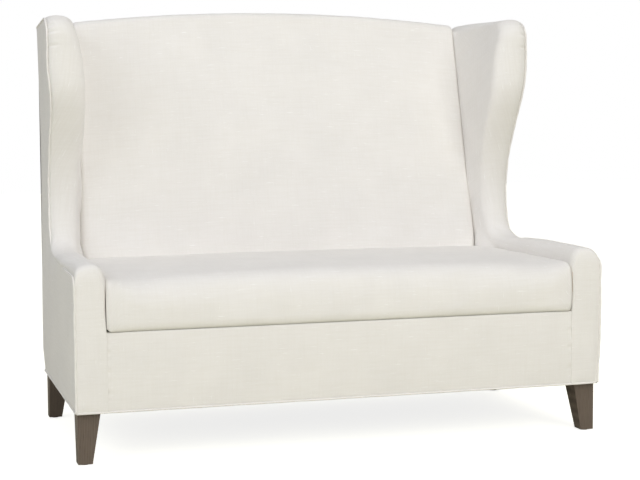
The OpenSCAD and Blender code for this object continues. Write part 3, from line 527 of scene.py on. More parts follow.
# Back pad: foam and wadding over webbing, leaning with the frame and arched along its top.
# The cloth comes up out of the crease, rolls over the top rail and is tacked behind it.
back_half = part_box("back_pad")[1][0]
leg_h = 0.140
base_d = 0.720
back_lean = 0.156
slope = back_lean / (overall_h - leg_h)
arch_rise = 0.036
arch_r = (back_half**2 + arch_rise**2) / (2 * arch_rise)
back_crown = 0.016
back_end_r = 0.024
back_shown = 110
# The top of the pad: its roll, its two corners, and where the cloth is tacked behind the rail
back_top_r = 0.027
back_corner_r = 0.010
back_corner_fall = 0.006
back_tack_fall = 0.018
back_tack_in = 0.0035
webbing_in = 0.0325
# Points up the face of the back: share of the height from the seat to the top's roll
BACK_SHARES = (0, 0.05, 0.10, 0.16, 0.24, 0.34, 0.52, 0.72, 0.88, 1)
# Beside the seat the cloth is pulled through further back, given as heights and how far.
# The pad runs out sideways there too, by a share of that.
TUCK = [(0.495, 0.014), (0.54, 0.038), (0.572, 0.031), (0.608, 0.0265), (0.643, 0.020), (0.679, 0.0125),
        (0.715, 0.0065), (0.75, 0.0)]
tuck_share = 0.42


def back_line(z):
    """Depth of the outside back at a height."""
    return base_d + slope * (z - leg_h)


def crease(z):
    """Depth of the line where the back pad meets the wing."""
    return seat_depth + (z - seat_h) * rake


def arch(x):
    """Height of the top edge of the back at a place across the settee."""
    return overall_h - arch_r + math.sqrt(arch_r**2 - min(abs(x), back_half)**2)


def between(table, place):
    """The value at a place, read off between the entries of a table of places and values."""
    return float(np.interp(place, *zip(*table)))


def tucked(z):
    """How much further back pad and wing meet low down, where the cloth is pulled through beside the seat."""
    return between(TUCK, z)


def back_ring(x):
    """One crossing of the back pad: up its face, over the top rail, and down behind it to the crease."""
    gap = back_half - abs(x)
    full = 1 - (x / back_half) ** 4
    top = arch(x) - min(eased(gap, back_corner_r), back_corner_fall)
    knee = top - back_top_r
    sill = seat_h + seat_crown
    rail = top - back_tack_fall

    def drop(z):
        """How far the face falls back next to the wing."""
        return eased(gap, back_corner_r + 0.9 * tucked(z))

    shown = [(crease(seam_h) + drop(seam_h), seam_h)]
    for s in BACK_SHARES:
        z = sill + (knee - sill) * s
        shown.append((crease(z) + drop(z) - back_crown * full * math.sin(math.pi * s), z))
    for a in (30, 60, 90):
        turn = math.radians(a)
        shown.append((crease(knee) + drop(knee) + back_top_r * (1 - math.cos(turn)),
                      knee + back_top_r * math.sin(turn)))
    shown.append((back_line(top) - back_tack_in - 0.003, top - 0.0015))
    shown.append((back_line(rail) - back_tack_in, rail + 0.003))
    hidden = resampled([shown[-1], (back_line(rail) - webbing_in, rail)], 4)[1:]
    down = resampled([hidden[-1], (back_line(seam_h) - webbing_in, seam_h)], 14)[1:]
    ring = np.concatenate([through(shown, back_shown), hidden, down])
    return [(x * (1 + tuck_share * tucked(z) / back_half), front_y + y, z) for y, z in ring]


back_rings = [back_ring(x) for x in stations(back_half, back_end_r, cover_pitch)]
back_pad = lofted("back_cushion", back_rings, linen)
settle(back_pad, back_rings, loose=(10, back_shown - 6), spare=0.005, limit=0.003)
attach(back_pad, "root")
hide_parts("back_pad")

# Padding of arm and wing: one cover from the front of the arm up through the scoop to the top of the wing.
# It is foam and wadding glued to the side frame. The cloth is sewn to the welt, swells over the roll and
# runs along the inside into the crease of seat and back, where it is pulled through and stapled.
SIDES = (("left", 1), ("right", -1))
# Widths of the padding over arm and wing, and how it meets seat and back in the crease
arm_w = 0.088
wing_w = 0.105
wing_top_w = 0.084
crease_w = 0.124
top_crease_w = 0.120
crease_lap = 0.004
crease_fall = 0.003
# The line of the welt in side view: along the arm, up the waist and the wing, and back along its top
seat_proud = 0.006
arm_edge_h = 0.506
arm_rise = 0.007
arm_back_h = arm_edge_h + arm_rise
arm_run = 0.470
arm_corner_r = 0.024
waist_back = 0.620
waist_h = 0.665
waist_inset = 0.011
wing_front = 0.495
wing_straight_h = 1.030
wing_edge_h = 1.216
wing_tip_r = 0.060
wing_top_run = 0.31
wing_top_fall = 0.008
wing_top_inset = 0.013
tip = np.array([wing_front + wing_tip_r, wing_edge_h - wing_tip_r])
SCOOP = [(arm_run, arm_back_h), (0.585, arm_back_h), (0.612, 0.545), (waist_back, waist_h)]
SWEEP = [(waist_back, waist_h), (waist_back, 0.8475), (wing_front, 0.928), (wing_front, wing_straight_h)]
# How full the padding stands over that line, and how its front corner beside the seat is shaped
arm_front_r = 0.021
arm_front_swell = 0.0034
right_arm_full = 0.006
scoop_swell = 0.0185
wing_swell = 0.017
corner_ease_share = 0.4
corner_forward = 0.0022
# On the arm the cloth turns in to the crease below the welt, by a share of its swell and this much more
inside_share = 0.62
inside_drop = 0.012
# Where the padding ends out of sight: under the welt and the panel, at the post, and over the top rail
pad_from = 0.0055
cover_in = 0.017
base_low = 0.1435
post_back = 0.028
hidden_in = 0.031815
back_cloth = 0.0034
wing_rest_h = 1.200
wing_rest_in = 0.0286
wing_rest_foot = 0.012
wing_rest_crease = 0.008
# Heights at which the lowest and the highest section of the wing meet the post
meets_low = seam_h + (waist_h - seam_h) * 0.7
meets_high = wing_edge_h - 2 * wing_tip_r
# Width of the wing's roll by height: full along its length, narrower as it turns over at the top
WING_WIDTH = [(waist_h, 0.5 * (arm_w + wing_w)), (0.75, 0.101), (0.82, 0.109), (0.90, 0.1155),
              (wing_straight_h, 0.1145), (1.10, 0.109), (1.15, 0.100), (1.19, 0.089),
              (wing_edge_h, wing_top_w)]
# Height of the top of the arm's roll along its run
ARM_CROWN = [(0.006, 0.5355), (0.03, 0.537), (0.10, 0.5390), (0.30, 0.5395), (0.40, 0.5365), (0.48, 0.5290)]
# Sections close together round the front of the arm, as shares of its post, and the rings that close its face
POST_SHARES = (0, 0.03, 0.08, 0.16, 0.26, 0.38, 0.52, 0.68, 0.85, 1)
FACE_SHARES = (0.76, 0.62, 0.48, 0.35, 0.23, 0.13, 0.06, 0.02)
# Gathers where the cloth is eased round the tip: length along the edge, and how strongly it is drawn in
GATHERS = [(-0.026, 1.0), (0.014, 0.8), (0.036, 1.0), (0.062, 0.5)]
gather_w = 0.0045
gather_share = 0.30
# Points over the roll: share of the width, and share of the swell (out is positive)
ARM_ROLL = [(0.00, 0.26), (0.05, 0.56), (0.13, 0.78), (0.25, 0.92), (0.42, 1.00),
            (0.60, 1.00), (0.76, 0.88), (0.89, 0.50), (0.97, -0.10), (1.00, -0.60)]
OVERHANG_ROLL = [(-0.05, 0.02), (-0.10, 0.22), (-0.085, 0.50), (0.02, 0.76), (0.22, 0.94),
                 (0.46, 1.00), (0.74, 0.88), (0.89, 0.50), (0.97, -0.10), (1.00, -0.60)]
LOW_WING_ROLL = [(0.02, 0.25), (0.09, 0.50), (0.18, 0.72), (0.30, 0.87), (0.45, 0.95),
                 (0.60, 0.90), (0.74, 0.72), (0.86, 0.42), (0.95, 0.05), (1.00, -0.30)]
WING_ROLL = [(0.02, 0.25), (0.08, 0.52), (0.17, 0.80), (0.30, 0.97), (0.45, 1.00),
             (0.62, 0.86), (0.78, 0.48), (0.90, -0.02), (0.97, -0.50), (1.00, -1.00)]
# Sections along the arm, the scoop, the sweep, the upright of the wing, its tip and its top
ARM_STEPS, SCOOP_STEPS, SWEEP_STEPS, UPRIGHT_STEPS, TIP_STEPS, TOP_STEPS = 42, 38, 38, 44, 40, 26
pad_shown = 52


def bezier(p, t):
    """A place on the curve that four points steer, from the first at 0 to the last at 1."""
    p = np.array(p)
    return p[0] * (1 - t)**3 + p[1] * 3 * t * (1 - t)**2 + p[2] * 3 * t * t * (1 - t) + p[3] * t**3


def edge_inset(d, z):
    """How far the welt is drawn in from the widest place: along the waist, and back along the wing's top."""
    waist = waist_inset * smooth((d - 0.20) / 0.35) * (1 - smooth((z - 0.95) / 0.13))
    top = wing_top_inset * min(max((d - tip[0]) / wing_top_run, 0), 1) if z > 1.19 else 0.0
    return waist + top


def front_full(side, d, z):
    """How far the front of the right arm is filled out past the line of the left."""
    if side == "left":
        return 0.0
    upright = smooth((z - 0.15) / 0.16) * smooth((0.56 - z) / 0.08)
    return right_arm_full * upright * (1 - smooth((d - 0.02) / 0.22))


def arm_edge_at(d):
    """Height of the arm's welt: round its front corner, then rising a little to the back."""
    if d < arm_corner_r:
        return arm_edge_h - arm_corner_r + math.sqrt(arm_corner_r**2 - (arm_corner_r - d)**2)
    return arm_edge_h + arm_rise * (d - arm_corner_r) / (arm_run - arm_corner_r)


def wing_edge_at(d):
    """Height of the wing's top edge, which falls a little towards the back."""
    return wing_edge_h - wing_top_fall * max(0.0, (d - tip[0]) / wing_top_run)


def back_point(z):
    """Where the padding ends against the post of the back, out of sight, at a height."""
    return back_line(z) - hidden_in, z


def pad_section(edge, hidden, crease_at, width, inner, swell, roll, ease=0.0, overhang=0.0, pinch=0.0,
                outer=cover_in, low=0.0):
    """One section: its points in side view, widths, swell, how it is eased and pinched, its mix of rolls."""
    return {"edge": np.array(edge), "hidden": np.array(hidden), "crease": np.array(crease_at),
            "width": width, "inner": inner, "swell": swell, "roll": roll, "ease": ease,
            "overhang": overhang, "pinch": pinch, "outer": outer, "low": low}


def arm_section(d, low):
    """The section across the arm at a depth, down to its foot in front or to the seam beside the seat."""
    edge = (seat_proud + d, arm_edge_at(d))
    ease = eased(d, arm_front_r)
    swell = between(ARM_CROWN, edge[0]) - ease - edge[1]
    inside = (edge[0], edge[1] - inside_share * swell - inside_drop)
    outer = pad_from + (cover_in - pad_from) * smooth((d - 0.01) / 0.02)
    return pad_section(edge, (edge[0], low), inside, arm_w, arm_w, swell, 0.0, ease,
                       smooth((edge[0] - 0.16) / 0.09), outer=outer)


def scoop_section(t):
    """The section along the scoop, turning from upright on the arm to level across the wing."""
    corner = back_point(seam_h)[0]
    start = arm_run + seat_proud
    crease_h = seat_h - crease_fall
    if t < 0.5:
        u = t / 0.5
        hidden = (start + (corner - start) * u ** 1.6, seam_h)
        first = arm_edge_at(arm_run - seat_proud) - inside_share * scoop_swell - inside_drop
        inside = (start + (seat_depth - start) * u, first + (crease_h - first) * u)
        inner = arm_w + (crease_w - arm_w) * max(0.0, (inside[0] - wing_from) / (seat_depth - wing_from))
    else:
        u = (t - 0.5) / 0.5
        hidden = back_point(seam_h + (meets_low - seam_h) * u)
        corner_at = np.array([seat_depth, crease_h])
        inside = corner_at + (wing_section(SCOOP[-1], meets_low, wing_w)["crease"] - corner_at) * u
        inner = crease_w - tuck_share * tucked(inside[1])
    width = arm_w + (wing_w - arm_w) * 0.5 * t
    swell = scoop_swell + (wing_swell - scoop_swell) * t
    return pad_section(bezier(SCOOP, t), hidden, inside, width, inner, swell, t,
                       overhang=1 - smooth((t - 0.30) / 0.45), low=smooth((t - 0.4) / 0.4))


def wing_section(p, z, width, pinch=0.0):
    """The section from a place on the wing's edge back to the post at height z."""
    p, hidden = np.array(p), np.array(back_point(z))
    reach = math.dist(hidden, p)
    depth = max(inside_drop, 0.3 * reach * (1 - smooth((p[1] - 1.10) / 0.09)),
                crease(p[1]) + crease_lap + tucked(p[1]) - p[0])
    return pad_section(p, hidden, p + (hidden - p) * depth / reach, width,
                       crease_w - tuck_share * tucked(p[1]), wing_swell, 1.0, pinch=pinch,
                       low=1 - smooth((p[1] - 0.80) / 0.15))


def wing_hidden(z):
    """Height at which a section of the wing meets the post, for a height on the wing's edge."""
    return meets_low + (meets_high - meets_low) * (z - waist_h) / (wing_edge_h - waist_h)


def pinched(along):
    """Depth of the gathers at a length along the wing's edge, counted from where its tip begins."""
    return sum(depth * math.exp(-((along - place) / gather_w) ** 2) for place, depth in GATHERS)


def pad_sections():
    """Sections from the front of the arm to the back of the wing's top."""
    rows = [arm_section(post_back * s, base_low) for s in POST_SHARES]
    rows += [arm_section(d, seam_h) for d in np.linspace(post_back + 0.001, arm_run - seat_proud, ARM_STEPS)]
    rows += [scoop_section(t) for t in np.linspace(0.03, 1, SCOOP_STEPS)]
    for t in np.linspace(0.03, 1, SWEEP_STEPS):
        p = bezier(SWEEP, t)
        rows.append(wing_section(p, wing_hidden(p[1]), between(WING_WIDTH, p[1])))
    for z in np.linspace(wing_straight_h, tip[1], UPRIGHT_STEPS)[1:-1]:
        rows.append(wing_section((wing_front, z), wing_hidden(z), between(WING_WIDTH, z),
                                 pinched(z - tip[1])))
    for s in np.linspace(0, 1, TIP_STEPS):
        turn = math.radians(180 - 90 * s)
        p = tip + wing_tip_r * np.array([math.cos(turn), math.sin(turn)])
        rows.append(wing_section(p, wing_hidden(tip[1]) + wing_tip_r * 0.5 * s, between(WING_WIDTH, p[1]),
                                 pinched(s * wing_tip_r * math.pi / 2)))
    top_back = back_point(wing_edge_h)[0]
    for s in np.linspace(0.04, 0.96, TOP_STEPS):
        d = tip[0] + (top_back - tip[0]) * s
        widened = smooth((d - tip[0]) / (crease(wing_edge_h) - tip[0]))
        rows.append(wing_section((d, wing_edge_at(d)), wing_hidden(tip[1]) + wing_tip_r * (0.5 + 0.4 * s),
                                 wing_top_w + (top_crease_w - wing_top_w) * widened))
    # The last stretch lies over the top rail of the back, and ends just inside the outside back
    top, start = wing_edge_at(top_back), top_back + 0.001
    rest = back_line(wing_rest_h) - wing_rest_in
    end, lower = back_line(top) - back_cloth, back_line(wing_rest_h) - back_cloth
    for s in (0, 0.35, 0.7, 1):
        hidden = (rest + (lower - rest) * s, wing_rest_h - wing_rest_foot)
        inside = (hidden[0], wing_rest_h - wing_rest_crease)
        rows.append(pad_section((start + (end - start) * s, top), hidden, inside, top_crease_w, crease_w,
                                wing_swell, 1.0))
    return rows


def pad_ring(section):
    """One ring of the padding: from the welt over the roll to the crease, and back round what is hidden."""
    edge, foot, inside = (section[part] for part in ("edge", "hidden", "crease"))
    width, inner, outer = (section[part] for part in ("width", "inner", "outer"))
    swell, ease = section["swell"], section["ease"]
    depth = np.linalg.norm(inside - edge)
    inward = (inside - edge) / depth
    roll = [[arm[k] + (wing[k] + (low[k] - wing[k]) * section["low"] - arm[k]) * section["roll"]
             + (hung[k] - arm[k]) * section["overhang"] for k in (0, 1)]
            for arm, hung, low, wing in zip(ARM_ROLL, OVERHANG_ROLL, LOW_WING_ROLL, WING_ROLL)]
    last = -roll[-1][1]
    shorten = min(1.0, 0.75 * depth / (last * swell))
    shown = [(pad_from, edge + inward * 0.001)]
    for across, out in roll:
        out -= section["pinch"] * gather_share * max(0.0, 1 - abs(across - 0.08) / 0.28)
        out *= swell * (1 if out > 0 else shorten)
        shown.append((pad_from + (width - pad_from) * across, edge - inward * out))
    middle = 0.5 * (swell * last * shorten + depth)
    shown.append((0.5 * (width + inner), edge + inward * min(middle, depth - 0.001)))
    shown.append((inner, inside))
    curve = through([(x, p[0], p[1]) for x, p in shown], pad_shown)
    foot_in, foot_out = np.array([inner, *foot]), np.array([outer, *foot])
    near = np.array([outer, *(edge + inward * 0.02)])
    hidden = [curve[-1] + (foot_in - curve[-1]) * s for s in (0.15, 0.35, 0.6, 0.8, 0.94, 0.99, 1)]
    under = [foot_in + (foot_out - foot_in) * s for s in (0.03, 0.3, 0.7, 0.97, 1)]
    outside = [foot_out + (near - foot_out) * s for s in (0.01, 0.06, 0.25, 0.6, 1)]
    ring = np.concatenate([curve, hidden, under, outside])
    # The front corner next to the seat is eased above the seam, and meets the border squarely below it
    for point in ring:
        above = smooth((point[2] - seam_h + 0.005) / 0.05)
        inner_side = smooth((point[0] - 0.6 * width) / (0.4 * width))
        point[0] -= corner_ease_share * ease * above * inner_side
        point[1] -= corner_forward * inner_side * ease / arm_front_r * (1 - above)
    return ring


def front_rings(ring):
    """The padded front face of the arm: the first ring closed in to its middle line, a little proud."""
    middle = 0.5 * arm_w
    low, high = ring[:, 2].min() + middle, ring[:, 2].max() - middle
    plane = seat_proud - arm_front_swell
    rings = []
    for s in FACE_SHARES:
        smaller = ring.copy()
        smaller[:, 0] += (middle - ring[:, 0]) * s
        smaller[:, 2] += (np.clip(ring[:, 2], low, high) - ring[:, 2]) * s
        smaller[:, 1] += (plane - ring[:, 1]) * (1 - (1 - s / FACE_SHARES[0]) ** 3)
        rings.append(smaller)
    return rings


for side, mirror in SIDES:
    rows = []
    sections = pad_sections()
    rings = [pad_ring(section) for section in sections]
    edges = [sections[0]["edge"]] * len(FACE_SHARES) + [section["edge"] for section in sections]
    for ring, edge in zip(front_rings(rings[0]) + rings, edges):
        row = []
        for x, y, z in ring:
            inset = edge_inset(*edge) * max(0.0, 1 - x / crease_w)
            fuller = front_full(side, y, z) * max(0.0, 1 - x / arm_w)
            row.append((mirror * (-half_w + x + inset - fuller), front_y + y, z))
        rows.append(row)
    pad = lofted(f"wing_arm_{side}", rows, linen)
    front_faces = len(FACE_SHARES) * len(rows[0])
    lay_flat(pad, list(range(front_faces)) + [len(pad.data.polygons) - 2], (0, 2))
    if mirror < 0:
        pad.data.flip_normals()
    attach(pad, "root")
    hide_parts(f"wing_arm_pad_{side}")

# Front border: a padded strip of linen from the seam under the nose down to the base welt.
# It is stapled to the front rail, and stands a little fuller in the middle of its height.
border_low, border_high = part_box("front_border")
border_lap = 0.0008
border_half = border_high[0] + border_lap
border_end_r = 0.014
border_swell = 0.0045
border_edge_in = 0.0035
border_face_in = 0.002
border_shown = 60
# Small puckers where the border is turned round into the arm: height, depth
PUCKERS = [(0.327, 0.0016), (0.301, 0.0034), (0.284, 0.0020), (0.252, 0.0028), (0.224, 0.0014),
           (0.193, 0.0032), (0.176, 0.0016)]
pucker_h = 0.007
pucker_run = 0.011


def border_ring(x):
    """One upright crossing of the border: up its padded face and down behind it."""
    gap = border_half - abs(x)
    face = border_low[1] + border_face_in + 0.05 * eased(gap, border_end_r)
    top = border_high[2] - 0.0005
    shown = [(border_low[1] + border_edge_in, base_low)]
    for s in np.linspace(0.012, 0.985, border_shown):
        full = border_swell * math.sin(math.pi * s) ** 0.5
        z = base_low + (border_high[2] - base_low) * s
        pulled = sum(depth * math.exp(-((z - place) / pucker_h) ** 2) for place, depth in PUCKERS)
        shown.append((face - full + pulled * math.exp(-(gap / pucker_run) ** 2), z))
    shown.append((border_low[1] + border_edge_in + 0.0005, top))
    behind = [(border_high[1], top), (border_high[1], base_low)]
    return [(x, y, z) for y, z in shown + behind]


border_rings = [border_ring(x) for x in stations(border_half, 0.024, cover_pitch)]
border = lofted("front_border_cover", border_rings, linen)
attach(border, "root")
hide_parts("front_border")

# Outside panels: one flat cut of linen over wadding on each side frame, blind tacked under its welt.
# The panel is drawn in along the waist and towards the back, and stands a little full low down at the back.
welt_d = 0.006
welt_proud = 0.003
# The panel dips by its tuck over a share of each crossing, next to the welt and at the back corner
panel_tuck = 0.002
front_tuck_share = 0.03
rear_tuck_share = 0.02
panel_swell = 0.0012
panel_uneven = 0.0007
panel_edge_t = 0.003
panel_bevel = 0.02
# How far the back corner of the panel is drawn in by height, or stands full low down
REAR_INSET = [(0.146, 0.0), (0.21, -0.0045), (0.30, -0.003), (0.40, 0.0), (0.516, 0.0045), (0.672, 0.0085),
              (0.826, 0.0127), (1.0, 0.013)]


def side_edge(fine):
    """The line of the welt in side view, from the foot of the arm to the back of the wing's top."""
    corner = (seat_proud + arm_corner_r, arm_edge_h - arm_corner_r)
    run = [(seat_proud, z) for z in np.linspace(base_low, corner[1], 3 * fine)[:-1]]
    run += [(corner[0] - arm_corner_r * math.cos(a), corner[1] + arm_corner_r * math.sin(a))
            for a in np.linspace(0, math.pi / 2, fine)]
    run += [(d, arm_edge_at(d - seat_proud)) for d in np.linspace(corner[0], arm_run, 3 * fine)[1:-1]]
    run += [tuple(bezier(SCOOP, t)) for t in np.linspace(0, 1, 3 * fine)]
    run += [tuple(bezier(SWEEP, t)) for t in np.linspace(0, 1, 3 * fine)[1:]]
    run += [(wing_front, z) for z in np.linspace(wing_straight_h, tip[1], fine)[1:-1]]
    run += [(tip[0] - wing_tip_r * math.cos(a), tip[1] + wing_tip_r * math.sin(a))
            for a in np.linspace(0, math.pi / 2, fine)]
    end = back_line(wing_edge_h - wing_top_fall)
    run += [(d, wing_edge_at(d)) for d in np.linspace(tip[0], end, 2 * fine)[1:]]
    return run


def panel_rows(fine, across):
    """Crossings of the panel from the welt to its back corner: depth, height, share, length and inset."""
    edge = side_edge(fine)
    length = distances(edge)
    high = edge[-1][1]
    rows = []
    for (d, z), run in zip(edge, length / length[-1]):
        far_z = base_low + (high - base_low) * run ** 1.15
        far = (back_line(far_z), far_z)
        reach = math.dist((d, z), far)
        near_in, far_in = edge_inset(d, z), between(REAR_INSET, far_z)
        rows.append([(d + (far[0] - d) * s, z + (far_z - z) * s, s, reach, near_in + (far_in - near_in) * s)
                     for s in np.linspace(0, 1, across)])
    return rows


for side, mirror in SIDES:
    rows = []
    for crossing in panel_rows(10, 44):
        outer, inner = [], []
        for d, z, s, reach, inset in crossing:
            inset -= front_full(side, d, z)
            tuck = panel_tuck * (2 - min(s / front_tuck_share, 1) - min((1 - s) / rear_tuck_share, 1))
            middle = math.sin(math.pi * s)
            uneven = math.sin(17 * d + 9 * z) * math.sin(11 * z - 5 * d) * panel_uneven
            outer.append((mirror * (-half_w + welt_proud + tuck + (uneven - panel_swell) * middle + inset),
                          front_y + d, z))
            depth = min(min(s, 1 - s) * reach / panel_bevel, 1)
            lining = welt_proud + panel_edge_t + inset
            inner.append((mirror * (-half_w + lining + (max(cover_in, lining) - lining) * depth),
                          front_y + d, z))
        rows.append(outer + inner[::-1])
    panel = lofted(f"outside_panel_{side}", rows, linen)
    lay_flat(panel, range(len(panel.data.polygons)), (1, 2))
    if mirror < 0:
        panel.data.flip_normals()
    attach(panel, "root")
    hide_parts(f"side_cover_{side}")

# Outside back: one flat cut of linen over the back frame, arched like the pad and closed down both sides.
# Its edges are turned in and blind tacked, so they dip a little over their last few millimetres.
back_edge_in = 0.006
back_dip = 0.0018
back_dip_run = 0.006
back_lining = 0.0031
back_top_gap = 0.003


def outside_back_ring(x):
    """One upright crossing of the outside back: up its face and down behind it."""
    top = arch(x) - back_top_gap if abs(x) < back_half else wing_edge_h - wing_top_fall
    side_gap = half_w - back_edge_in - abs(x)
    shown = []
    for z in np.linspace(base_low, top, 70):
        edge = min(z - base_low, top - z)
        dip = back_dip * (2 - min(edge / back_dip_run, 1) - min(side_gap / back_dip_run, 1))
        shown.append((back_line(z) - dip, z))
    behind = [(back_line(z) - back_lining, z) for z in np.linspace(top, base_low, 8)]
    return [(x * (1 - between(REAR_INSET, z) / half_w), front_y + d, z) for d, z in shown + behind]


outside_back_rings = [outside_back_ring(x) for x in stations(half_w - back_edge_in, 0.006, 0.012)]
outside_back = lofted("outside_back", outside_back_rings, linen)
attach(outside_back, "root")
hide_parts("back_cover")

# Welts: cord covered in linen cut on the bias, sewn round each outside panel and along the foot of the base.
# It is laid and sewn by hand, so its line wanders by a fraction of its thickness.
welt_r = welt_d / 2
welt_points = 420
welt_sides = 12
welt_wander = 0.0001
welt_linen = linen_material("linen welt", tint=1.02, slub=0.7, turn=math.radians(45))


def welt_rings(points):
    """Rings round a run of points in space, a little uneven in their thickness."""
    points = np.array(points, float)
    rows = []
    for i, p in enumerate(points):
        d = points[min(i + 1, len(points) - 1)] - points[max(i - 1, 0)]
        d = d / np.linalg.norm(d)
        up = np.array([0.0, 0.0, 1.0]) if abs(d[2]) < 0.95 else np.array([0.0, 1.0, 0.0])
        if abs(d[0]) < 0.3:
            up = np.array([1.0, 0.0, 0.0])
        a = np.cross(d, up)
        a = a / np.linalg.norm(a)
        b = np.cross(a, d)
        r = welt_r * (1 + 0.05 * math.sin(0.9 * i) + 0.05 * math.sin(0.37 * i + 1))
        rows.append([p + r * (a * math.cos(t) + b * math.sin(t))
                     for t in np.linspace(0, 2 * math.pi, welt_sides, endpoint=False)])
    return rows


for side, mirror in SIDES:
    run = []
    for i, (d, z) in enumerate(resampled(side_edge(12), welt_points)):
        wander = welt_wander * (4 * math.sin(0.23 * i) + 3 * math.sin(0.61 * i + 2 + mirror))
        x = -half_w + welt_r + edge_inset(d, z) - front_full(side, d, z) + wander
        run.append((mirror * x, front_y + d, z + 0.5 * wander))
    run[-1] = (run[-1][0], front_y + back_line(wing_edge_h) - welt_r, run[-1][2])
    welt = lofted(f"side_welt_cord_{side}", welt_rings(run), welt_linen)
    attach(welt, "root")
    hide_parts(f"side_welt_{side}")

welt_low, welt_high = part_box("base_welt")
corner_r = 0.006
loop = []
x1, y1 = welt_high[0] - welt_r - corner_r, welt_high[1] - welt_r - corner_r
y0 = welt_low[1] + welt_r + corner_r
for x, y, start in ((x1, y0, -90), (x1, y1, 0), (-x1, y1, 90), (-x1, y0, 180)):
    for a in (0, 18, 36, 54, 72, 90):
        turn = math.radians(start + a)
        loop.append((x + corner_r * math.cos(turn), y + corner_r * math.sin(turn), leg_h + welt_r))
loop = resampled(loop + loop[:1], welt_points)
base_welt = lofted("base_welt_cord", welt_rings(loop), welt_linen, cap=False)
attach(base_welt, "root")
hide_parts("base_welt")

# Hidden cloths: webbing behind the back pad, the deck cloth over the springs, and the dust cover underneath.
# They are close weaves, stapled to the frame. The roll along the front rail is foam in wadding, glued on.


def cambric_material(name, colour, pitch):
    """Plain hidden cloth: a close weave with its threads at that pitch, a shade darker in its weft."""
    material, tree, surface = new_material(name)
    surface.inputs["Specular IOR Level"].default_value = 0.2
    place = put(tree, "ShaderNodeTexCoord")
    weave = use_group(tree, LINEN_WEAVE, Thread_pitch=pitch, Slub=0.12, Warp=colour,
                      Weft=tuple(0.82 * c for c in colour[:3]) + (1,))
    wire(tree, (place, "Object", weave, "Place"))
    dress(tree, weave, surface, depth=0.0002, strength=0.5)
    return material


cambric = cambric_material("black cambric", (0.03, 0.03, 0.032, 1), pitch=0.0012)
webbing = cambric_material("elastic webbing", (0.11, 0.10, 0.09, 1), pitch=0.0018)
wadding = cambric_material("foam and wadding", (0.72, 0.70, 0.62, 1), pitch=0.0030)
for name, cloth in (("dust_cover", cambric), ("seat_deck_cloth", cambric), ("back_webbing_upright", webbing),
                    ("back_webbing_level", webbing), ("front_edge_roll", wadding)):
    finish_node(name, cloth)

# Legs: square tapered legs in grey-brown stained ash, satin lacquered, each on a nylon glide.
# Each hangs on the bolt in its block, and its edges are eased by hand before the stain.
leg_ease = 0.0016
leg_wood = wood_material("grey stained ash", light=(0.165, 0.125, 0.095, 1), dark=(0.085, 0.062, 0.047, 1),
                         ring=0.0045, pore=0.5)
for name in ("leg_front_left", "leg_front_right", "leg_rear_left", "leg_rear_right"):
    finish_node(name, leg_wood)
    weld = nodes[name].modifiers.new("close seams", "WELD")
    weld.merge_threshold = 0.00002
    eased_edges = nodes[name].modifiers.new("eased edges", "BEVEL")
    eased_edges.width = leg_ease
    eased_edges.segments = 3
    eased_edges.limit_method = "ANGLE"
    eased_edges.harden_normals = True


def nylon_material(name, colour, scuffed):
    """Moulded nylon, paler and duller where it is scuffed."""
    material, tree, surface = new_material(name)
    scuff = put(tree, "ShaderNodeTexNoise", Scale=300.0, Detail=3.0)
    rough = put(tree, "ShaderNodeMapRange", To_Min=0.4, To_Max=0.62)
    tint = put(tree, "ShaderNodeMixRGB", Color1=colour, Color2=scuffed)
    wire(tree, (scuff, "Fac", rough, "Value"), (scuff, "Fac", tint, "Fac"),
         (rough, "Result", surface, "Roughness"), (tint, "Color", surface, "Base Color"))
    return material


nylon = nylon_material("glide nylon", colour=(0.035, 0.034, 0.033, 1), scuffed=(0.07, 0.067, 0.063, 1))
finish_node("leg_glides", nylon)

# Studio: a white floor that keeps a faint shadow, and four soft boxes: a large key far in front, a weaker
# fill from the left, a small one overhead for the seat and the arms, and one for the left outside panel.
floor_size = 14.0
floor_glow = 0.80
sky_light = 0.36
floor_mesh = bpy.data.meshes.new("studio_floor")
floor_mesh.from_pydata([(-floor_size, -floor_size, 0), (floor_size, -floor_size, 0),
                        (floor_size, floor_size, 0), (-floor_size, floor_size, 0)], [], [(0, 1, 2, 3)])
floor = bpy.data.objects.new("studio_floor", floor_mesh)
bpy.context.scene.collection.objects.link(floor)
paper, paper_tree, paper_surface = new_material("white paper")
paper_surface.inputs["Base Color"].default_value = (0.84, 0.82, 0.66, 1)
paper_surface.inputs["Roughness"].default_value = 0.9
paper_surface.inputs["Specular IOR Level"].default_value = 0.1
seen = put(paper_tree, "ShaderNodeLightPath")
paper_glow = calc(paper_tree, "MULTIPLY", None, floor_glow)
paper_surface.inputs["Emission Color"].default_value = (1, 1, 1, 1)
wire(paper_tree, (seen, "Is Camera Ray", paper_glow, 0),
     (paper_glow, 0, paper_surface, "Emission Strength"))
floor_mesh.materials.append(paper)

world = bpy.data.worlds.new("studio")
bpy.context.scene.world = world
world.use_nodes = True
sky_tree = world.node_tree
sky = sky_tree.nodes["Background"]
sky_rays = put(sky_tree, "ShaderNodeLightPath")
sky_seen = calc(sky_tree, "MAXIMUM")
sky_level = put(sky_tree, "ShaderNodeMapRange", To_Min=sky_light, To_Max=1.0)
wire(sky_tree, (sky_rays, "Is Camera Ray", sky_seen, 0), (sky_rays, "Is Transmission Ray", sky_seen, 1),
     (sky_seen, 0, sky_level, "Value"), (sky_level, "Result", sky, "Strength"))
sky.inputs["Color"].default_value = (1, 1, 1, 1)


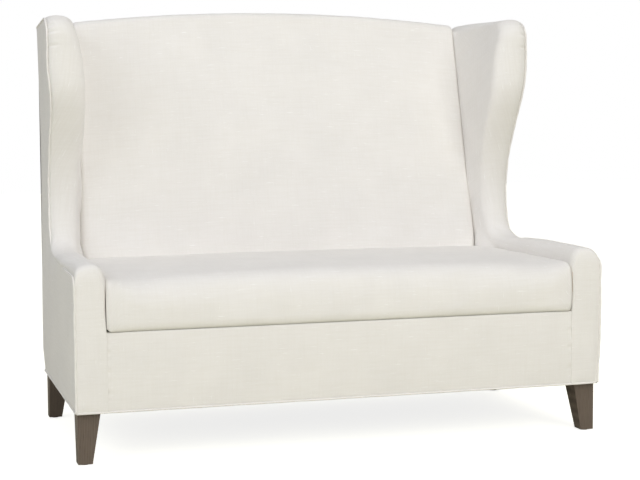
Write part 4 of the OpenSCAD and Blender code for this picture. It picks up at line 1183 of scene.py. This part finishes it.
def soft_box(name, place, aim, size, power, tint=(1, 1, 1)):
    """A square soft box at a place, turned to its aim; tint is the colour of its light."""
    lamp = bpy.data.lights.new(name, "AREA")
    lamp.shape = "SQUARE"
    lamp.size = size
    lamp.energy = power
    lamp.color = tint
    box = bpy.data.objects.new(name, lamp)
    bpy.context.scene.collection.objects.link(box)
    box.location = place
    look = np.array(aim, float) - np.array(place, float)
    box.rotation_euler = (math.atan2(math.hypot(look[0], look[1]), -look[2]), 0,
                          math.atan2(look[1], look[0]) - math.pi / 2)
    return box


soft_box("key", place=(1.7, -7.0, 4.0), aim=(0, 0, 0.6), size=4.0, power=189)
soft_box("fill", place=(-5.3, -4.4, 3.4), aim=(-0.4, 0, 0.8), size=4.5, power=96, tint=(0.94, 0.965, 1))
soft_box("top", place=(0.3, -1.9, 4.0), aim=(0, 0, 0.4), size=2.6, power=34)
soft_box("side", place=(-4.5, -0.5, 3.8), aim=(-0.8, 0, 1.0), size=1.6, power=22, tint=(0.72, 0.78, 1))

# Camera: at the viewing angle of the photograph, 15 degrees off the front and a little above the arms.
# Its lens is long, 81 mm on a 36 mm wide sensor, and its frame is shifted to the settee.
eye = Vector((-1.25795, -4.18194, 0.91631))
yaw, pitch, roll = 0.26180, -0.07807, -0.00887
forward = Vector((math.sin(yaw) * math.cos(pitch), math.cos(yaw) * math.cos(pitch), math.sin(pitch)))
right = Vector((math.cos(yaw), -math.sin(yaw), 0))
over = right.cross(forward)
right, over = (right * math.cos(roll) + over * math.sin(roll),
               over * math.cos(roll) - right * math.sin(roll))
camera_data = bpy.data.cameras.new("camera")
camera = bpy.data.objects.new("camera", camera_data)
bpy.context.scene.collection.objects.link(camera)
camera.matrix_world = Matrix.Translation(eye) @ Matrix((right, over, -forward)).transposed().to_4x4()
camera_data.sensor_width = 36.0
camera_data.lens = 81.082
camera_data.shift_x = 0.09375
camera_data.shift_y = -0.01356
bpy.context.scene.camera = camera
bpy.context.scene.view_settings.view_transform = "Standard"
